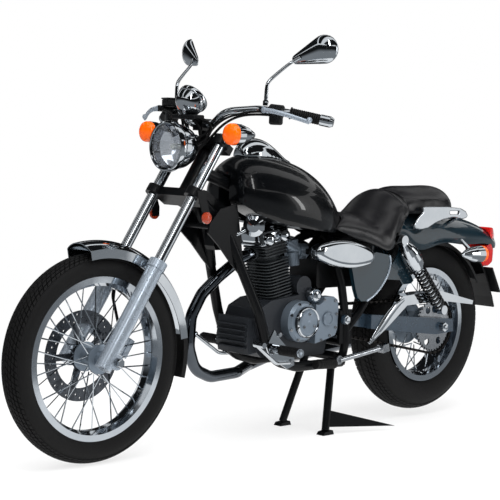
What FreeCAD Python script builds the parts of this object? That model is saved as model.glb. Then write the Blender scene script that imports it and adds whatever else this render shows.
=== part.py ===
import FreeCAD, Part
import math
import os

# A cruiser motorcycle of the 250 cm3 class, standing upright on its centre stand.
# Millimetres. +X is forward, +Y is the rider's left, +Z is up. The origin is on the floor,
# under the middle of the machine's length. The rear wheel hangs clear of the floor.

# ---- wheels and stance
wheelbase = 1465.0
tail_end = -1046.0           # rearmost point of the tail lamp and the plate
rear_axle_x = -637.0
stand_lift = 19.5            # the centre stand holds the rear tyre this far off the floor
front_tyre_radius = 309.6
front_tyre_height = 67.1     # tyre section outside the rim
front_tyre_width = 90.0
front_rim_radius = front_tyre_radius - front_tyre_height
front_rim_width = 63.0
rear_tyre_radius = 307.5
rear_tyre_width = 130.0
rear_rim_radius = 203.0
rear_rim_width = 104.0
rim_depth = 17.0             # from flange edge to the tyre's seat
spoke_radius = 2.1
front_spokes = 36
rear_spokes = 36
axle_radius = 8.5
running_fit = 0.05           # radial clearance of a shaft or pin in its hole
seat_gap = 0.3               # clearance where one piece rests on another

# ---- steering
rake = 33.3                  # degrees from upright
leg_ahead = 45.0             # fork legs ahead of the steering axis
axle_ahead = 27.0            # wheel axle ahead of the steering axis
leg_side = 89.0
tube_radius = 16.5
slider_radius = 25.0
slider_top = 328.0           # heights here are measured up the steering axis from the axle
slider_bottom = -34.0
tube_foot = 210.0
lower_clamp = (553.0, 580.0)
upper_clamp = (741.0, 768.0)
clamp_radius = 27.0
clamp_reach = leg_side + clamp_radius
stem_radius = 12.5
head_radius = 29.0

# ---- handlebar, mirrors and lamps
bar_radius = 11.0
bar_bend = 70.0
grip_radius = 16.0
grip_start = 0.06            # shares of the bar's last run where the grip begins and ends
grip_end = 0.72
mirror_toe = 26.0            # degrees the glass turns in towards the rider
mirror_tilt = 20.0           # degrees the outer end of the glass sits higher
mirror_big = 44.0            # radii of the outer and inner ends
mirror_small = 15.0
mirror_width = 150.0
mirror_depth = 26.0
mirror_rim = 5.0             # rim of the shell round the glass
mirror_recess = 3.0
headlamp_radius = 77.0
headlamp_length = 104.0
headlamp_bezel = 9.0
lens_radius = 33.0
rear_lens_radius = 29.5
lens_seat = -24.0            # where a lens meets its lamp body, from the lens's front
speedo_tilt = 48.0           # degrees the dial leans back from level
speedo_radius = 49.0
speedo_depth = 62.0

# ---- fenders
fender_radius = front_tyre_radius + 35.4
fender_skirt = front_tyre_radius - 13.6
fender_lug = fender_skirt + 4
fender_half = 56.0
guard_radius = 324.0         # inner guard of the rear tyre
guard_half = 80.0

# ---- engine
cylinder_foot = (100.0, 446.0)   # x, z of the joint between crankcase and cylinder
cylinder_lean = 11.0
cylinder_height = 150.0
fin_pitch = 10.0
fin_thickness = 3.2
fin_size = 112.0
fin_corner = 20.0
barrel_radius = 40.0
head_height = 42.0
crankcase_half = 72.0
cover_centre = (58.0, 383.0)     # x, z of the ignition cover
cover_radius = 67.0
cap_centre = (-13.0, 462.0)      # x, z of the filler cap
cap_radius = 27.0
air_box_front = -46.0
air_box_half = 62.0
cover_side = 127.0               # inner face of the side and air covers
exhaust_radius = 19.0

# ---- frame
main_tube = 16.0
cradle_side = 96.0
cradle_height = 236.0
rail_side = 70.0
rail_height = 656.0
rail_radius = 9.0
pivot = (-133.0, 380.0)      # swing-arm pivot, x and z
plate_side = 101.0           # inner face of the pivot plates
plate_thickness = 12.0
backbone_radius = 19.0
diagonal_radius = 13.5
pivot_radius = 16.0
front_panel = [(330, 762), (318, 705), (306, 640), (292, 560), (307, 539), (352, 581), (401, 632), (448,
                                                                                                    672),
               (440, 702), (400, 745)]
panel_side = 60.0            # inner face of the panels beside the headstock
rear_panel_side = 108.0

# ---- shock absorbers
shock_side = 150.0
shock_rod = 11.0
shock_eye = 14.0             # half the width of an eye
spring_top = 200.0

# ---- chain drive
chain_side = 81.0
chain_width = 15.0
chain_height = 11.0
drive_sprocket = (-58.0, 386.0)
drive_sprocket_radius = 36.0
wheel_sprocket_radius = 92.0

# ---- centre stand
stand_pivot = (-140.0, cradle_height + 16)
stand_foot_x = -77.5
stand_foot_side = 99.0
stand_root_side = 58.0
stand_leg_radius = 13.0
brace_share = 0.15           # how far down the legs the brace sits

# ---- side stand
side_pivot = (-96.0, cradle_height + 14)
side_pivot_side = 126.0

# ---- axes and axles
Z_AXIS = FreeCAD.Vector(0, 0, 1)
Y_AXIS = FreeCAD.Vector(0, 1, 0)
X_AXIS = FreeCAD.Vector(1, 0, 0)
front_axle = FreeCAD.Vector(rear_axle_x + wheelbase, 0, front_tyre_radius)
rear_axle = FreeCAD.Vector(rear_axle_x, 0, rear_tyre_radius + stand_lift)
origin_shift = -(front_axle.x + front_tyre_radius + tail_end) / 2     # to the middle of the length


# ---------------------------------------------------------------- helpers
def vec(x, y, z):
    """Short for a FreeCAD vector."""
    return FreeCAD.Vector(x, y, z)


def rod(start, end, radius):
    """Round bar between two points."""
    axis = end - start
    return Part.makeCylinder(radius, axis.Length, start, axis)


def cross_rod(x, z, y_from, y_to, radius):
    """Round bar across the machine."""
    return rod(vec(x, y_from, z), vec(x, y_to, z), radius)


def bent_path(points, bend):
    """Straight runs joined by tangent arcs."""
    edges = []
    here = points[0]
    for before, corner, after in zip(points, points[1:], points[2:]):
        back = before - corner
        onward = after - corner
        half_angle = back.getAngle(onward) / 2
        reach = min(bend / math.tan(half_angle), 0.45 * back.Length, 0.45 * onward.Length)
        radius = reach * math.tan(half_angle)
        back.normalize()
        onward.normalize()
        middle = back + onward
        middle.normalize()
        inside = corner + middle * (radius / math.sin(half_angle) - radius)
        arc_start = corner + back * reach
        arc_end = corner + onward * reach
        edges.append(Part.makeLine(here, arc_start))
        edges.append(Part.Arc(arc_start, inside, arc_end).toShape())
        here = arc_end
    edges.append(Part.makeLine(here, points[-1]))
    return Part.Wire(edges)


def bent_rod(points, radius, bend):
    """Round bar or tube along a bent path."""
    if len(points) == 2:
        return rod(points[0], points[1], radius)
    profile = Part.Wire(Part.makeCircle(radius, points[0], points[1] - points[0]))
    return bent_path(points, bend).makePipeShell([profile], True, False)


def slab(outline, y_from, y_to):
    """Plate with a side outline of (x, z) points, spanning y_from to y_to."""
    points = [vec(x, y_from, z) for x, z in outline]
    face = Part.Face(Part.makePolygon(points + points[:1]))
    return face.extrude(vec(0, y_to - y_from, 0))


def plan_slab(outline, z_from, z_to):
    """Plate with a plan outline of (x, y) points, spanning z_from to z_to."""
    points = [vec(x, y, z_from) for x, y in outline]
    face = Part.Face(Part.makePolygon(points + points[:1]))
    return face.extrude(vec(0, 0, z_to - z_from))


def lathe(outline, centre, axis):
    """Turned piece: outline of (radius, distance along the axis)."""
    points = [vec(radius, 0, along) for radius, along in outline]
    face = Part.Face(Part.makePolygon(points + points[:1]))
    solid = face.revolve(vec(0, 0, 0), Z_AXIS, 360)
    solid.Placement = FreeCAD.Placement(centre, FreeCAD.Rotation(Z_AXIS, axis))
    return solid


def mirrored(shape):
    """The same piece on the other side of the machine."""
    return shape.mirror(vec(0, 0, 0), Y_AXIS)


def pair(shape):
    """A left piece and its right twin."""
    return Part.makeCompound([shape, mirrored(shape)])


def joined(shapes):
    """One solid from touching pieces."""
    return shapes[0].fuse(shapes[1:]).removeSplitter()


def rounded(shape, radius, chosen):
    """Fillet the edges that the test picks."""
    edges = [edge for edge in shape.Edges if chosen(edge)]
    return shape.makeFillet(radius, edges)


def along_axis(edge, axis):
    """True for a straight edge along an axis."""
    if not isinstance(edge.Curve, Part.Line):
        return False
    return abs(edge.Curve.Direction.dot(axis)) > 0.999


def arch_loft(sections):
    """Loft along X of sections flat below and arched above: (x, bottom, top, half width)."""
    wires = []
    for x, bottom, top, half in sections:
        shoulder = bottom + 0.55 * (top - bottom)
        low_left = vec(x, half * 0.93, bottom)
        low_right = vec(x, -half * 0.93, bottom)
        left = vec(x, half * 0.9, shoulder)
        right = vec(x, -half * 0.9, shoulder)
        bulge = bottom + 0.3 * (top - bottom)
        wires.append(Part.Wire([
            Part.makeLine(low_right, low_left),
            Part.Arc(low_left, vec(x, half, bulge), left).toShape(),
            Part.Arc(left, vec(x, 0, top), right).toShape(),
            Part.Arc(right, vec(x, -half, bulge), low_right).toShape()]))
    return Part.makeLoft(wires, True, False)


def above_rails(sections):
    """Sections (x, bottom, top, half width) whose heights are given above the seat rails."""
    return [(x, rail_height + bottom, rail_height + top, half) for x, bottom, top, half in sections]


def at_rails(outline):
    """Outline points whose heights are given above the seat rails."""
    return [(x, rail_height + z) for x, z in outline]


# ---------------------------------------------------------------- steering frame of reference
fork_turn = FreeCAD.Rotation(Y_AXIS, -rake)
fork_up = fork_turn.multVec(Z_AXIS)
fork_forward = fork_turn.multVec(X_AXIS)
steering_foot = front_axle - fork_forward * axle_ahead


def fork_point(ahead, side, up):
    """A point given ahead of, beside and up the steering axis."""
    return steering_foot + fork_forward * ahead + Y_AXIS * side + fork_up * up


def on_fork(shape):
    """Set a shape modelled upright on the steering axis at its rake."""
    turned = shape.copy()
    turned.Placement = FreeCAD.Placement(steering_foot, fork_turn).multiply(shape.Placement)
    return turned


head_middle = fork_point(-8, 0, (lower_clamp[1] + upper_clamp[0]) / 2 + 20)
bar_centre = fork_point(72.3, 0, 797.5)
bar_route = [bar_centre + vec(x, y, z) for x, y, z in (
    (0, 0, 0), (0, 46, 0), (0, 100, 42), (-62, 180, 52), (-97, 270, 44), (-176, 383, 18))]
reflector_centre = bar_centre + vec(78, clamp_reach + seat_gap, -279)
mirror_root = bar_centre + vec(-71, 202, 62.8)
mirror_elbow = bar_centre + vec(-71, 204, 132)
mirror_centre = bar_centre + vec(-200, 276, 228)
headlamp_front = bar_centre + vec(147, 0, -69)
lens_front = bar_centre + vec(72, 192, -27)
speedo_centre = bar_centre + vec(57, 0, 63)
rear_lamp_centre = vec(-826, 150, rail_height - 74)
shock_low = vec(-597, shock_side, 392)
shock_top = vec(-368, shock_side, rail_height - 16)


# ---------------------------------------------------------------- wheels
def tyre(radius, width, rim_radius, rim_width, centre):
    """Round-section tyre seated between the rim flanges."""
    bead = rim_width / 2 - 4.0
    seat = rim_radius - rim_depth + seat_gap + 1.0
    over = rim_radius + 0.5
    shoulder = radius - 0.12 * width
    tread = 0.33 * width
    waist = (over + shoulder) / 2

    def at(r, y):
        return vec(r, y, 0)
    edges = [
        Part.makeLine(at(seat, -bead), at(seat, bead)),
        Part.makeLine(at(seat, bead), at(over, bead)),
        Part.makeLine(at(over, bead), at(over, bead + 5)),
        Part.Arc(at(over, bead + 5), at(waist, width / 2), at(shoulder, tread)).toShape(),
        Part.Arc(at(shoulder, tread), at(radius, 0), at(shoulder, -tread)).toShape(),
        Part.Arc(at(shoulder, -tread), at(waist, -width / 2), at(over, -bead - 5)).toShape(),
        Part.makeLine(at(over, -bead - 5), at(over, -bead)),
        Part.makeLine(at(over, -bead), at(seat, -bead))]
    solid = Part.Face(Part.Wire(edges)).revolve(vec(0, 0, 0), Y_AXIS, 360)
    solid.translate(centre)
    return solid


def spoked_rim(rim_radius, rim_width, count, flange_radius, flange_side, centre):
    """Rim with its wire spokes laced to two hub flanges."""
    half = rim_width / 2
    seat = rim_radius - rim_depth
    well = seat - 9.0
    outline = [(rim_radius, half), (rim_radius, half - 3.5), (seat, half - 3.5), (well, half * 0.35),
               (well, -half * 0.35), (seat, 3.5 - half), (rim_radius, 3.5 - half), (rim_radius, -half),
               (seat - 3, -half), (well - 4, -half * 0.4), (well - 4, half * 0.4), (seat - 3, half)]
    points = [vec(r, y, 0) for r, y in outline]
    ring = Part.Face(Part.makePolygon(points + points[:1])).revolve(vec(0, 0, 0), Y_AXIS, 360)
    spokes = []
    lean = 26.0
    for number in range(count):
        angle = 360.0 * number / count
        side = 1 if number % 2 else -1
        sweep = lean if number % 4 < 2 else -lean
        root = math.radians(angle - sweep)
        tip = math.radians(angle)
        start = vec(flange_radius * math.cos(root), side * flange_side, flange_radius * math.sin(root))
        end = vec((well - 2) * math.cos(tip), side * half * 0.15, (well - 2) * math.sin(tip))
        run = end - start
        corners = [vec(spoke_radius * math.cos(t), spoke_radius * math.sin(t), 0)
                   for t in (0, math.pi / 2, math.pi, 3 * math.pi / 2)]
        bar = Part.Face(Part.makePolygon(corners + corners[:1])).extrude(vec(0, 0, run.Length))
        bar.Placement = FreeCAD.Placement(start, FreeCAD.Rotation(Z_AXIS, run))
        spokes.append(bar)
    solid = ring.fuse(spokes)
    solid.translate(centre)
    return solid


def front_wheel_pieces():
    """Front tyre, spoked rim, hub, and the disc on its five arms."""
    flange_radius = 44.0
    flange_side = 31.0
    hub_end = 58.0
    bore = axle_radius + running_fit
    disc_side = -54.0
    disc_radius = 135.0
    disc_bore = 78.0
    disc_face = disc_side + 5.0
    carrier_radius = 40.0
    collar = 16.0
    arm_count = 5
    hub = lathe([(bore, -hub_end), (collar, -hub_end), (collar, disc_side + 9), (22, -flange_side - 8),
                 (flange_radius, -flange_side - 4), (flange_radius, -flange_side), (27, -flange_side + 5),
                 (25, 0), (27, flange_side - 5), (flange_radius, flange_side),
                 (flange_radius, flange_side + 4), (26, flange_side + 8), (26, hub_end), (bore, hub_end)],
                front_axle, Y_AXIS)
    ring = lathe([(disc_bore, disc_side), (disc_radius, disc_side), (disc_radius, disc_face),
                  (disc_bore, disc_face)], front_axle, Y_AXIS)
    carrier = lathe([(collar + seat_gap, disc_side), (carrier_radius, disc_side), (carrier_radius,
                                                                                   disc_face),
                     (collar + seat_gap, disc_face)], front_axle, Y_AXIS)
    arms = []
    for number in range(arm_count):
        arm = Part.makeBox(disc_bore - 30, disc_face - disc_side, 22, vec(34, disc_side, -11))
        arm.rotate(vec(0, 0, 0), Y_AXIS, 360 / arm_count * number + 18)
        arm.translate(front_axle)
        arms.append(arm)
    disc = joined([ring, carrier] + arms)
    rim = spoked_rim(front_rim_radius, front_rim_width, front_spokes, flange_radius + 1.5 + spoke_radius,
                     flange_side + 2, front_axle)
    return {
        "front_tyre": tyre(front_tyre_radius, front_tyre_width, front_rim_radius, front_rim_width,
                           front_axle),
        "front_rim": rim, "front_hub": hub, "brake_disc": disc}


def rear_wheel_pieces():
    """Rear tyre, spoked rim, drum hub and sprocket."""
    flange_radius = 62.0
    flange_side = 33.0
    hub_end = 64.0
    drum_radius = 78.0
    bore = axle_radius + running_fit
    hub = lathe([(bore, -hub_end), (drum_radius - 8, -hub_end), (drum_radius, -hub_end + 6),
                 (drum_radius, -flange_side - 4),
                 (flange_radius, -flange_side), (40, -flange_side + 5), (38, 0), (40, flange_side - 5),
                 (flange_radius, flange_side), (flange_radius, flange_side + 4), (45, flange_side + 12),
                 (45, chain_side - 4), (bore, chain_side - 4)], rear_axle, Y_AXIS)
    rim = spoked_rim(rear_rim_radius, rear_rim_width, rear_spokes, drum_radius + 1.5 + spoke_radius,
                     flange_side - 4, rear_axle)
    return {
        "rear_tyre": tyre(rear_tyre_radius, rear_tyre_width, rear_rim_radius, rear_rim_width, rear_axle),
        "rear_rim": rim, "rear_hub": hub, "rear_sprocket": wheel_sprocket(bore)}


def wheel_sprocket(bore):
    """Toothed ring on a plate bolted to the hub."""
    teeth = 38
    hole_count = 6
    points = []
    for number in range(teeth):
        for share, depth in ((0.0, 0.0), (0.3, 0.0), (0.5, 7.0), (0.8, 7.0)):
            angle = 2 * math.pi * (number + share) / teeth
            radius = wheel_sprocket_radius - depth
            points.append(vec(radius * math.cos(angle), 0, radius * math.sin(angle)))
    plate = Part.Face(Part.makePolygon(points + points[:1])).extrude(vec(0, 6, 0))
    plate.translate(vec(0, chain_side - 3, 0))
    holes = [cross_rod(0, 0, chain_side - 4, chain_side + 4, bore + 8)]
    for number in range(hole_count):
        angle = 2 * math.pi * number / hole_count
        holes.append(cross_rod(64 * math.cos(angle), 64 * math.sin(angle), chain_side - 4, chain_side + 4,
                               13))
    plate = plate.cut(holes)
    plate.translate(rear_axle)
    return plate


def rear_axle_rod():
    """Axle bolt with its nuts and spacers."""
    end = 130.0
    bar = cross_rod(rear_axle.x, rear_axle.z, -end, end, axle_radius)
    nuts = [cross_rod(rear_axle.x, rear_axle.z, end - 8, end + 6, 15),
            cross_rod(rear_axle.x, rear_axle.z, -end - 6, -end + 8, 15),
            cross_rod(rear_axle.x, rear_axle.z, chain_side + 4, 96.7, 13),
            cross_rod(rear_axle.x, rear_axle.z, -96.7, -65, 13)]
    return joined([bar] + nuts)


def front_axle_rod():
    """Axle bolt through both sliders, with its ends and spacers."""
    lug = slider_radius
    outer = leg_side + lug
    inner = leg_side - lug
    x, z = front_axle.x, front_axle.z
    return joined([cross_rod(x, z, -outer - 9, outer + 9, axle_radius),
                   cross_rod(x, z, outer + seat_gap, outer + 10, 14),
                   cross_rod(x, z, -outer - 10, -outer - seat_gap, 14),
                   cross_rod(x, z, 58.5, inner - seat_gap, 14),
                   cross_rod(x, z, -inner + seat_gap, -58.5, 14)])


# ---------------------------------------------------------------- fork and what it carries
def fork_clamps():
    """Lower and upper clamps on the steering stem, with the block that holds the handlebar."""
    pieces = []
    for low, high in (lower_clamp, upper_clamp):
        pieces.append(Part.makeCylinder(clamp_radius, high - low, vec(0, 0, low)))
        pieces.append(Part.makeBox(clamp_radius + leg_ahead - 10, 2 * leg_side, high - low,
                                   vec(-10, -leg_side, low)))
        for side in (-leg_side, leg_side):
            pieces.append(Part.makeCylinder(clamp_radius, high - low, vec(leg_ahead, side, low)))
    pieces.append(Part.makeCylinder(stem_radius, upper_clamp[1] - lower_clamp[0], vec(0, 0,
                                                                                      lower_clamp[0])))
    body = joined(pieces)
    bores = []
    for side in (-leg_side, leg_side):
        bores.append(Part.makeCylinder(tube_radius + running_fit, upper_clamp[1] - lower_clamp[0] + 20,
                                       vec(leg_ahead, side, lower_clamp[0] - 10)))
    body = on_fork(body.cut(bores))
    x, z = reflector_centre.x, reflector_centre.z
    bracket = slab([(x + 38, z + 80), (x + 8, z + 84), (x - 14, z + 20), (x - 14, z - 8), (x + 12, z - 8),
                    (x + 14, z + 16)], clamp_reach - 4, clamp_reach)
    brackets = [bracket, mirrored(bracket)]
    block = Part.makeBox(36, 44, 36, vec(bar_centre.x - 18, -22, bar_centre.z - 18))
    foot = rod(fork_point(34, 0, upper_clamp[1] - 6), bar_centre - vec(2, 0, 8), 15)
    bar_hole = cross_rod(bar_centre.x, bar_centre.z, -30, 30, bar_radius + running_fit)
    return body.fuse([foot, block] + brackets).cut(bar_hole).removeSplitter()


def fork_tubes():
    """Both chromed fork tubes."""
    tube = Part.makeCylinder(tube_radius, upper_clamp[1] + 7 - tube_foot, vec(leg_ahead, leg_side,
                                                                              tube_foot))
    return pair(on_fork(tube))


def fork_slider():
    """Lower fork leg with its dust collar, axle lug and fender lug."""
    lug = slider_radius
    leg = joined([
        Part.makeCylinder(slider_radius, slider_top - 26 - slider_bottom, vec(leg_ahead, leg_side,
                                                                              slider_bottom)),
        Part.makeCylinder(slider_radius + 3, 26, vec(leg_ahead, leg_side, slider_top - 26)),
        rod(vec(axle_ahead, leg_side - lug, 0), vec(axle_ahead, leg_side + lug, 0), 22),
        rod(vec(leg_ahead, leg_side, fender_lug), vec(leg_ahead, fender_half + seat_gap, fender_lug),
            10)])
    bore = Part.makeCylinder(tube_radius + running_fit, slider_top - tube_foot + seat_gap + 10,
                             vec(leg_ahead, leg_side, tube_foot - seat_gap))
    hole = rod(vec(axle_ahead, 0, 0), vec(axle_ahead, 200, 0), axle_radius + running_fit)
    return on_fork(leg.cut([bore, hole]))


def handlebar():
    """Pull-back bar with its turned end weights."""
    left = bar_route[1:]
    right = [vec(p.x, -p.y, p.z) for p in left]
    bar = bent_rod(right[::-1] + left, bar_radius, bar_bend)
    run = bar_route[-1] - bar_route[-2]
    weight = lathe([(0, 0), (grip_radius + 1, 0), (grip_radius + 1, 30), (grip_radius - 4, 40), (0, 40)],
                   bar_route[-2] + run * grip_end + run * 0.003, run)
    return joined([bar, weight, mirrored(weight)])


def grip():
    """Hollow rubber grip slid on the bar's end."""
    run = bar_route[-1] - bar_route[-2]
    start = bar_route[-2] + run * grip_start
    end = bar_route[-2] + run * grip_end
    bore = rod(start - run * 0.1, end + run * 0.1, bar_radius + running_fit)
    return rod(start, end, grip_radius).cut(bore)


def hand_control():
    """Switch housing with its knob, and the lever and its perch ahead of the grip."""
    knee = bar_route[-2]
    inboard = bar_route[-3] + (knee - bar_route[-3]) * 0.42
    outboard = bar_route[-3] + (knee - bar_route[-3]) * 0.86
    lead = vec(0.95, 0.31, 0)
    housing = rod(inboard, outboard, 20)
    knob = rod((inboard + outboard) * 0.5, (inboard + outboard) * 0.5 + vec(14, 0, -36), 13)
    perch_end = inboard + lead * 52
    perch = rod(inboard + vec(0, 4, 0), perch_end, 11)
    tip = perch_end + vec(-58, 138, -26)
    blade = bent_rod([perch_end, perch_end + vec(-8, 50, -4), tip], 6, 40)
    ball = Part.makeSphere(9, tip)
    body = joined([housing, knob, perch, blade, ball])
    stub = bent_rod(bar_route[1:], bar_radius + running_fit, bar_bend)
    return body.cut(stub)


def oval(width, height, depth):
    """Oval pad of four tangent arcs in the YZ plane, thick along X."""
    a, b = width / 2, height / 2
    end = b * 0.62
    wide = ((a - end) ** 2 + b ** 2 - end ** 2) / (2 * (b - end))
    angle = math.atan2(wide - b, a - end)
    join_y = a - end + end * math.cos(angle)
    join_z = end * math.sin(angle)
    edges = [Part.Arc(vec(0, -join_y, -join_z), vec(0, 0, -b), vec(0, join_y, -join_z)).toShape(),
             Part.Arc(vec(0, join_y, -join_z), vec(0, a, 0), vec(0, join_y, join_z)).toShape(),
             Part.Arc(vec(0, join_y, join_z), vec(0, 0, b), vec(0, -join_y, join_z)).toShape(),
             Part.Arc(vec(0, -join_y, join_z), vec(0, -a, 0), vec(0, -join_y, -join_z)).toShape()]
    return Part.Face(Part.Wire(edges)).extrude(vec(depth, 0, 0))


def egg(big, small, length, depth):
    """Egg-shaped pad in the YZ plane, thick along X, with its big end at +Y."""
    gap = length - big - small
    lean = math.acos((big - small) / gap)
    big_y = length / 2 - big
    small_y = small - length / 2

    def at(centre, radius, angle):
        return vec(0, centre + radius * math.cos(angle), radius * math.sin(angle))
    edges = [Part.Arc(at(big_y, big, -math.pi + lean), at(big_y, big, 0), at(big_y, big,
                                                                             math.pi - lean)).toShape(),
             Part.makeLine(at(big_y, big, math.pi - lean), at(small_y, small, math.pi - lean)),
             Part.Arc(at(small_y, small, math.pi - lean), at(small_y, small, math.pi),
                      at(small_y, small, lean - math.pi)).toShape(),
             Part.makeLine(at(small_y, small, lean - math.pi), at(big_y, big, -math.pi + lean))]
    return Part.Face(Part.Wire(edges)).extrude(vec(depth, 0, 0))


def set_mirror(shape):
    """Turn a piece of the mirror head to its angles and move it to its place."""
    shape.rotate(vec(0, 0, 0), X_AXIS, mirror_tilt)
    shape.rotate(vec(0, 0, 0), Z_AXIS, mirror_toe)
    shape.translate(mirror_centre)
    return shape


def mirror():
    """Egg-shaped mirror body on a bent stalk from the bar."""
    head = egg(mirror_big, mirror_small, mirror_width, mirror_depth)
    front = [edge for edge in head.Edges if edge.BoundBox.XMin > mirror_depth - 0.1]
    head = head.makeFillet(mirror_small * 0.8, front)
    recess = egg(mirror_big - mirror_rim, mirror_small - mirror_rim, mirror_width - 2 * mirror_rim,
                 mirror_recess + seat_gap)
    recess.translate(vec(-0.5, 0, 0))
    head = set_mirror(head)
    neck = rod(vec(mirror_depth / 2, 20 - mirror_width / 2, 0), vec(mirror_depth / 2, 0, 0), 7)
    neck = set_mirror(neck).BoundBox
    socket = vec(neck.XMax - 7, neck.YMin + 7, neck.ZMin + 7)
    stalk = bent_rod([mirror_root, mirror_elbow, socket + vec(14, -16, -14), socket + vec(-5, 8, 4)], 7,
                     16)
    foot = rod(mirror_root - vec(0, 0, 0.5), mirror_root + vec(0, 0, 16), 9)
    return joined([head, stalk, foot]).cut(set_mirror(recess))


def mirror_plate():
    """Mirror glass, set in the shell's recess."""
    inset = mirror_rim + seat_gap
    glass = egg(mirror_big - inset, mirror_small - inset, mirror_width - 2 * inset,
                mirror_recess - seat_gap)
    glass.translate(vec(-0.2, 0, 0))
    return set_mirror(glass)


def headlamp():
    """Bucket, bezel and the two arms that hang it from the fork clamps."""
    length = headlamp_length
    back = headlamp_front - X_AXIS * length
    shell = lathe([(0, 0), (26, 3), (50, 16), (65, 40), (69, 76), (headlamp_radius, 80),
                   (headlamp_radius, length - 3), (headlamp_radius - 5, length),
                   (headlamp_radius - headlamp_bezel, length), (headlamp_radius - headlamp_bezel,
                                                                length - 6),
                   (0, length - 12)], back, X_AXIS)
    yoke = rod(fork_point(clamp_radius + leg_ahead - 8, 0, 755), back + vec(12, 0, 10), 12)
    return joined([shell, yoke])


def headlamp_glass():
    """Bowed lens in the headlamp's bezel."""
    radius = headlamp_radius - headlamp_bezel - seat_gap
    return lathe([(0, -11.5), (radius, -5.5), (radius, -2), (radius * 0.7, 4), (0, 8)],
                 headlamp_front, X_AXIS)


def front_indicator():
    """Pointed chrome lamp body on a stalk from the upper clamp."""
    shell = lathe([(0, -110), (9, -106), (22, -80), (31, -50), (lens_radius, lens_seat), (0, lens_seat)],
                  lens_front, X_AXIS)
    stalk = rod(lens_front + vec(-52, -20, 0), fork_point(leg_ahead, leg_side + clamp_radius - 6, 757), 8)
    clamp = Part.makeCylinder(clamp_radius + seat_gap, 200, vec(leg_ahead, leg_side, upper_clamp[0] - 50))
    return shell.fuse(stalk).cut(on_fork(clamp)).removeSplitter()


def lens_cap(centre, radius, direction):
    """Domed lens closing an indicator's body."""
    back = lens_seat + seat_gap
    return lathe([(0, back), (radius, back), (radius, -10), (radius * 0.75, -3), (0, 0)], centre,
                 direction)


def fork_reflector():
    """Round side reflector on the clamp's bracket."""
    return lathe([(0, 0), (17, 0), (17, 6), (12, 9), (0, 10)], reflector_centre, Y_AXIS)


def speedometer():
    """Chrome cup with a bezel, on a strip bracket with the warning-lamp housing below."""
    tilt = math.radians(speedo_tilt)
    facing = vec(-math.sin(tilt), 0, math.cos(tilt))
    back = speedo_centre - facing * (speedo_depth / 2)
    cup = lathe([(0, 0), (24, 2), (40, 14), (speedo_radius - 4, 44), (speedo_radius, 47),
                 (speedo_radius, speedo_depth - 4), (speedo_radius - 4, speedo_depth),
                 (speedo_radius - 6, speedo_depth - 3), (0, speedo_depth - 3)], back, facing)
    strap = bent_rod([bar_centre + vec(19.5, 0, 0), bar_centre + vec(58, 0, 4), bar_centre + vec(72, 0,
                                                                                                 30),
                      back + facing * 6], 6, 12)
    housing = Part.makeBox(46, 104, 15, bar_centre + vec(36, -52, 14))
    housing = rounded(housing, 6, lambda edge: along_axis(edge, Z_AXIS))
    return joined([cup, strap, housing])


def wheel_arc(section, axle, from_degrees, to_degrees):
    """Sweep a section of (radius, y) edges round an axle, degrees up from forward."""
    wire = Part.Wire(section)
    face = Part.Face(wire)
    face.rotate(vec(0, 0, 0), Y_AXIS, -from_degrees)
    solid = face.revolve(vec(0, 0, 0), vec(0, -1, 0), to_degrees - from_degrees)
    solid.translate(axle)
    return solid


def arch_section(radius, skirt, half, thickness):
    """Arched sheet section: crown, rounded shoulders and side skirts."""
    crown_drop = 22.0
    inner = half - thickness
    knee = radius - crown_drop

    def at(r, y):
        return vec(r, y, 0)
    return [Part.makeLine(at(skirt, -half), at(knee, -half)),
            Part.Arc(at(knee, -half), at(radius, 0), at(knee, half)).toShape(),
            Part.makeLine(at(knee, half), at(skirt, half)),
            Part.makeLine(at(skirt, half), at(skirt, inner)),
            Part.makeLine(at(skirt, inner), at(knee, inner)),
            Part.Arc(at(knee, inner), at(radius - thickness, 0), at(knee, -inner)).toShape(),
            Part.makeLine(at(knee, -inner), at(skirt, -inner)),
            Part.makeLine(at(skirt, -inner), at(skirt, -half))]


def front_fender():
    """Chrome front fender over the tyre's crown."""
    return wheel_arc(arch_section(fender_radius, fender_skirt, fender_half, 2.5), front_axle, 79, 172)


def fender_flap():
    """Rubber flap that carries the front fender on down behind the tyre."""
    section = arch_section(fender_radius - 1, fender_skirt + 10, fender_half, 3)
    return wheel_arc(section, front_axle, 172.05, 194)


def brake_caliper():
    """Caliper over the disc's rear edge, hung from the right slider."""
    length, height = 62.0, 60.0
    outer_face, inner_face = -79.5, -44.5     # the disc runs in the slot between the two halves
    centre_x, low = axle_ahead - 88, 68.0
    body = Part.makeBox(length, 10, height, vec(centre_x - length / 2, inner_face, low))
    outer = Part.makeBox(length, 24, height, vec(centre_x - length / 2, outer_face, low))
    bridge = Part.makeBox(18, 48, height, vec(centre_x - 49, outer_face, low))
    arm = Part.makeBox(leg_ahead - centre_x - 24, 10, 40, vec(centre_x + 20, outer_face, low + 8))
    solid = joined([outer, bridge, body, arm])
    leg = Part.makeCylinder(slider_radius + seat_gap, 400, vec(leg_ahead, -leg_side, -60))
    return on_fork(solid.cut(leg))


def brake_hose():
    """Hose held from the right hand lever down the fork leg to the caliper."""
    down_leg = [(leg_ahead - 24, -34, 700), (leg_ahead - 24, -34, 480), (leg_ahead - 24, -30, 330),
                (leg_ahead - 50, -10, 220), (axle_ahead - 88, 14, 150), (axle_ahead - 88, 16, 128.8)]
    points = [bar_centre + vec(-32, -202, 43), bar_centre + vec(-42, -165, -20)]
    points += [fork_point(ahead, side - leg_side, up) for ahead, side, up in down_leg]
    return bent_rod(points, 4.5, 60)


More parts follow.
